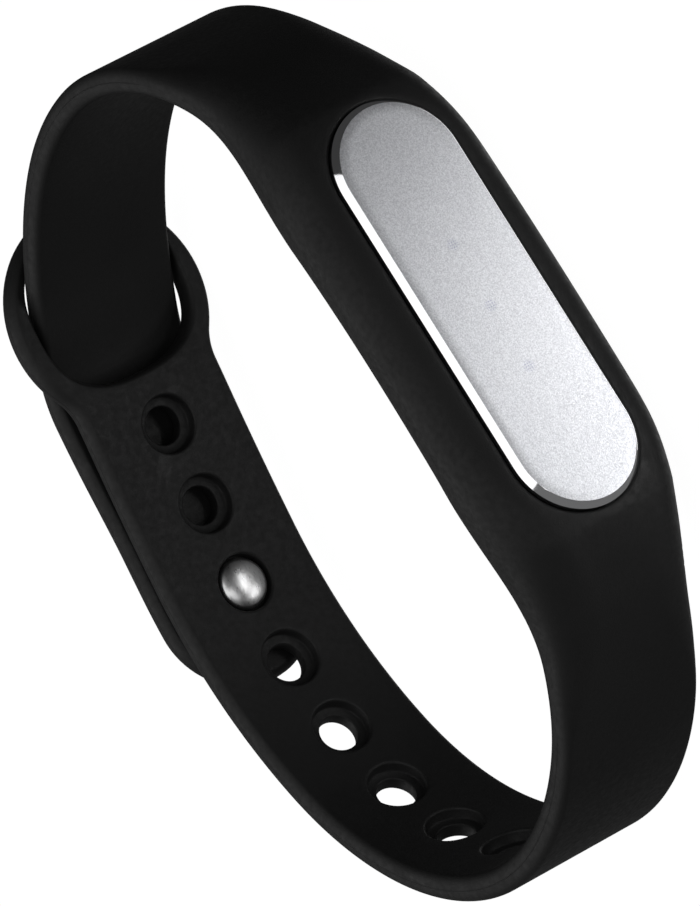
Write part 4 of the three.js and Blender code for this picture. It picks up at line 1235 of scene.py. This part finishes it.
for name, nodes in finishOf.items():
    finish = makeFinish(name, finishLook[name])
    for node in nodes:
        for slot in cadNodes[node].material_slots:
            slot.material = finish
        if not cadNodes[node].material_slots:
            cadNodes[node].data.materials.append(finish)
print("finishes:", len(finishOf), "on", sum(len(nodes) for nodes in finishOf.values()), "parts")


cameraSize = {
    "position": (-0.105186, -0.741773, 0.451258),
    "right": (-0.52607, -0.37918, -0.76123),
    "up": (0.84175, -0.35978, -0.40250),
    "lens": 448.4,
}


def makeCamera():
    data = bpy.data.cameras.new("studio camera")
    data.sensor_width, data.lens = 36, cameraSize["lens"]
    data.clip_start, data.clip_end = 0.05, 20
    camera = bpy.data.objects.new("studio camera", data)
    right = Vector(cameraSize["right"]).normalized()
    up = Vector(cameraSize["up"]).normalized()
    turned = Matrix((right, up, right.cross(up))).transposed().to_4x4()
    camera.matrix_world = Matrix.Translation(cameraSize["position"]) @ turned
    bpy.context.scene.collection.objects.link(camera)
    bpy.context.scene.camera = camera


def makeFloor():
    # pale card under the band; a little light of its own keeps it even
    mesh = bpy.data.meshes.new("floor")
    reach = 6.0
    corners = [(-reach, -reach, 0), (reach, -reach, 0), (reach, reach, 0), (-reach, reach, 0)]
    mesh.from_pydata(corners, [], [(0, 1, 2, 3)])
    material = startMaterial("pale card", {
        "Base Color": (0.06, 0.06, 0.06, 1), "Roughness": 0.9, "Specular IOR Level": 0.0,
        "Emission Color": (1, 1, 1, 1), "Emission Strength": 0.985})[0]
    mesh.materials.append(material)
    floor = addObject("floor", mesh)
    floor.location.z = -0.0002
    floor.visible_diffuse = False
    floor.visible_glossy = False
    floor.visible_shadow = False


def makeWorld():
    # dim grey for what the band reflects, darker behind its stud side, pale for what is seen behind it
    world = bpy.data.worlds.new("studio")
    world.use_nodes = True
    tree = world.node_tree
    tree.nodes.clear()
    seen = addNode(tree, "ShaderNodeLightPath").outputs["Is Camera Ray"]
    way = addNode(tree, "ShaderNodeSeparateXYZ", {0: addNode(tree, "ShaderNodeTexCoord").outputs["Generated"]})
    dim = addNode(tree, "ShaderNodeMapRange", {
        "Value": way.outputs["X"], "From Min": 0.2, "From Max": 0.6, "To Min": 0.16, "To Max": 0.045})
    strength = addNode(tree, "ShaderNodeMix", {"Factor": seen, "A": dim.outputs["Result"], "B": 1.0})
    sky = addNode(tree, "ShaderNodeBackground", {"Color": (1, 1, 1, 1), "Strength": strength.outputs[0]})
    addNode(tree, "ShaderNodeOutputWorld", {"Surface": sky.outputs[0]})
    bpy.context.scene.world = world


def addSoftbox(name, place, target, size, power):
    light = bpy.data.lights.new(name, "AREA")
    light.shape = "RECTANGLE"
    light.size, light.size_y = size
    light.energy = power
    box = bpy.data.objects.new(name, light)
    box.location = place
    box.rotation_mode = "QUATERNION"
    box.rotation_quaternion = (Vector(target) - Vector(place)).to_track_quat("-Z", "Y")
    box.visible_camera = False
    bpy.context.scene.collection.objects.link(box)
    return box


makeCamera()
makeFloor()
makeWorld()
addSoftbox("overhead", (0.06, 0.2, 0.5), (0.06, 0.2, 0.0), (0.62, 1.6), 3.6)
addSoftbox("low front", (-0.013, -0.080, -0.032), (-0.017, -0.029, 0.000), (0.06, 0.014), 0.0175)
addSoftbox("low side", (-0.16, -0.20, -0.17), (0.0, 0.0, 0.01), (0.12, 0.12), 0.12)
addSoftbox("below", (0.04, 0.10, -0.26), (0.0, -0.02, 0.0), (0.2, 0.12), 0.10)
addSoftbox("front fill", (-0.30, -0.75, 0.35), (0.0, 0.0, 0.01), (0.5, 0.5), 0.95)
bpy.context.scene.view_settings.view_transform = "Standard"
for guide in (holeGuide, studGuide, cellObject):
    bpy.data.objects.remove(guide)
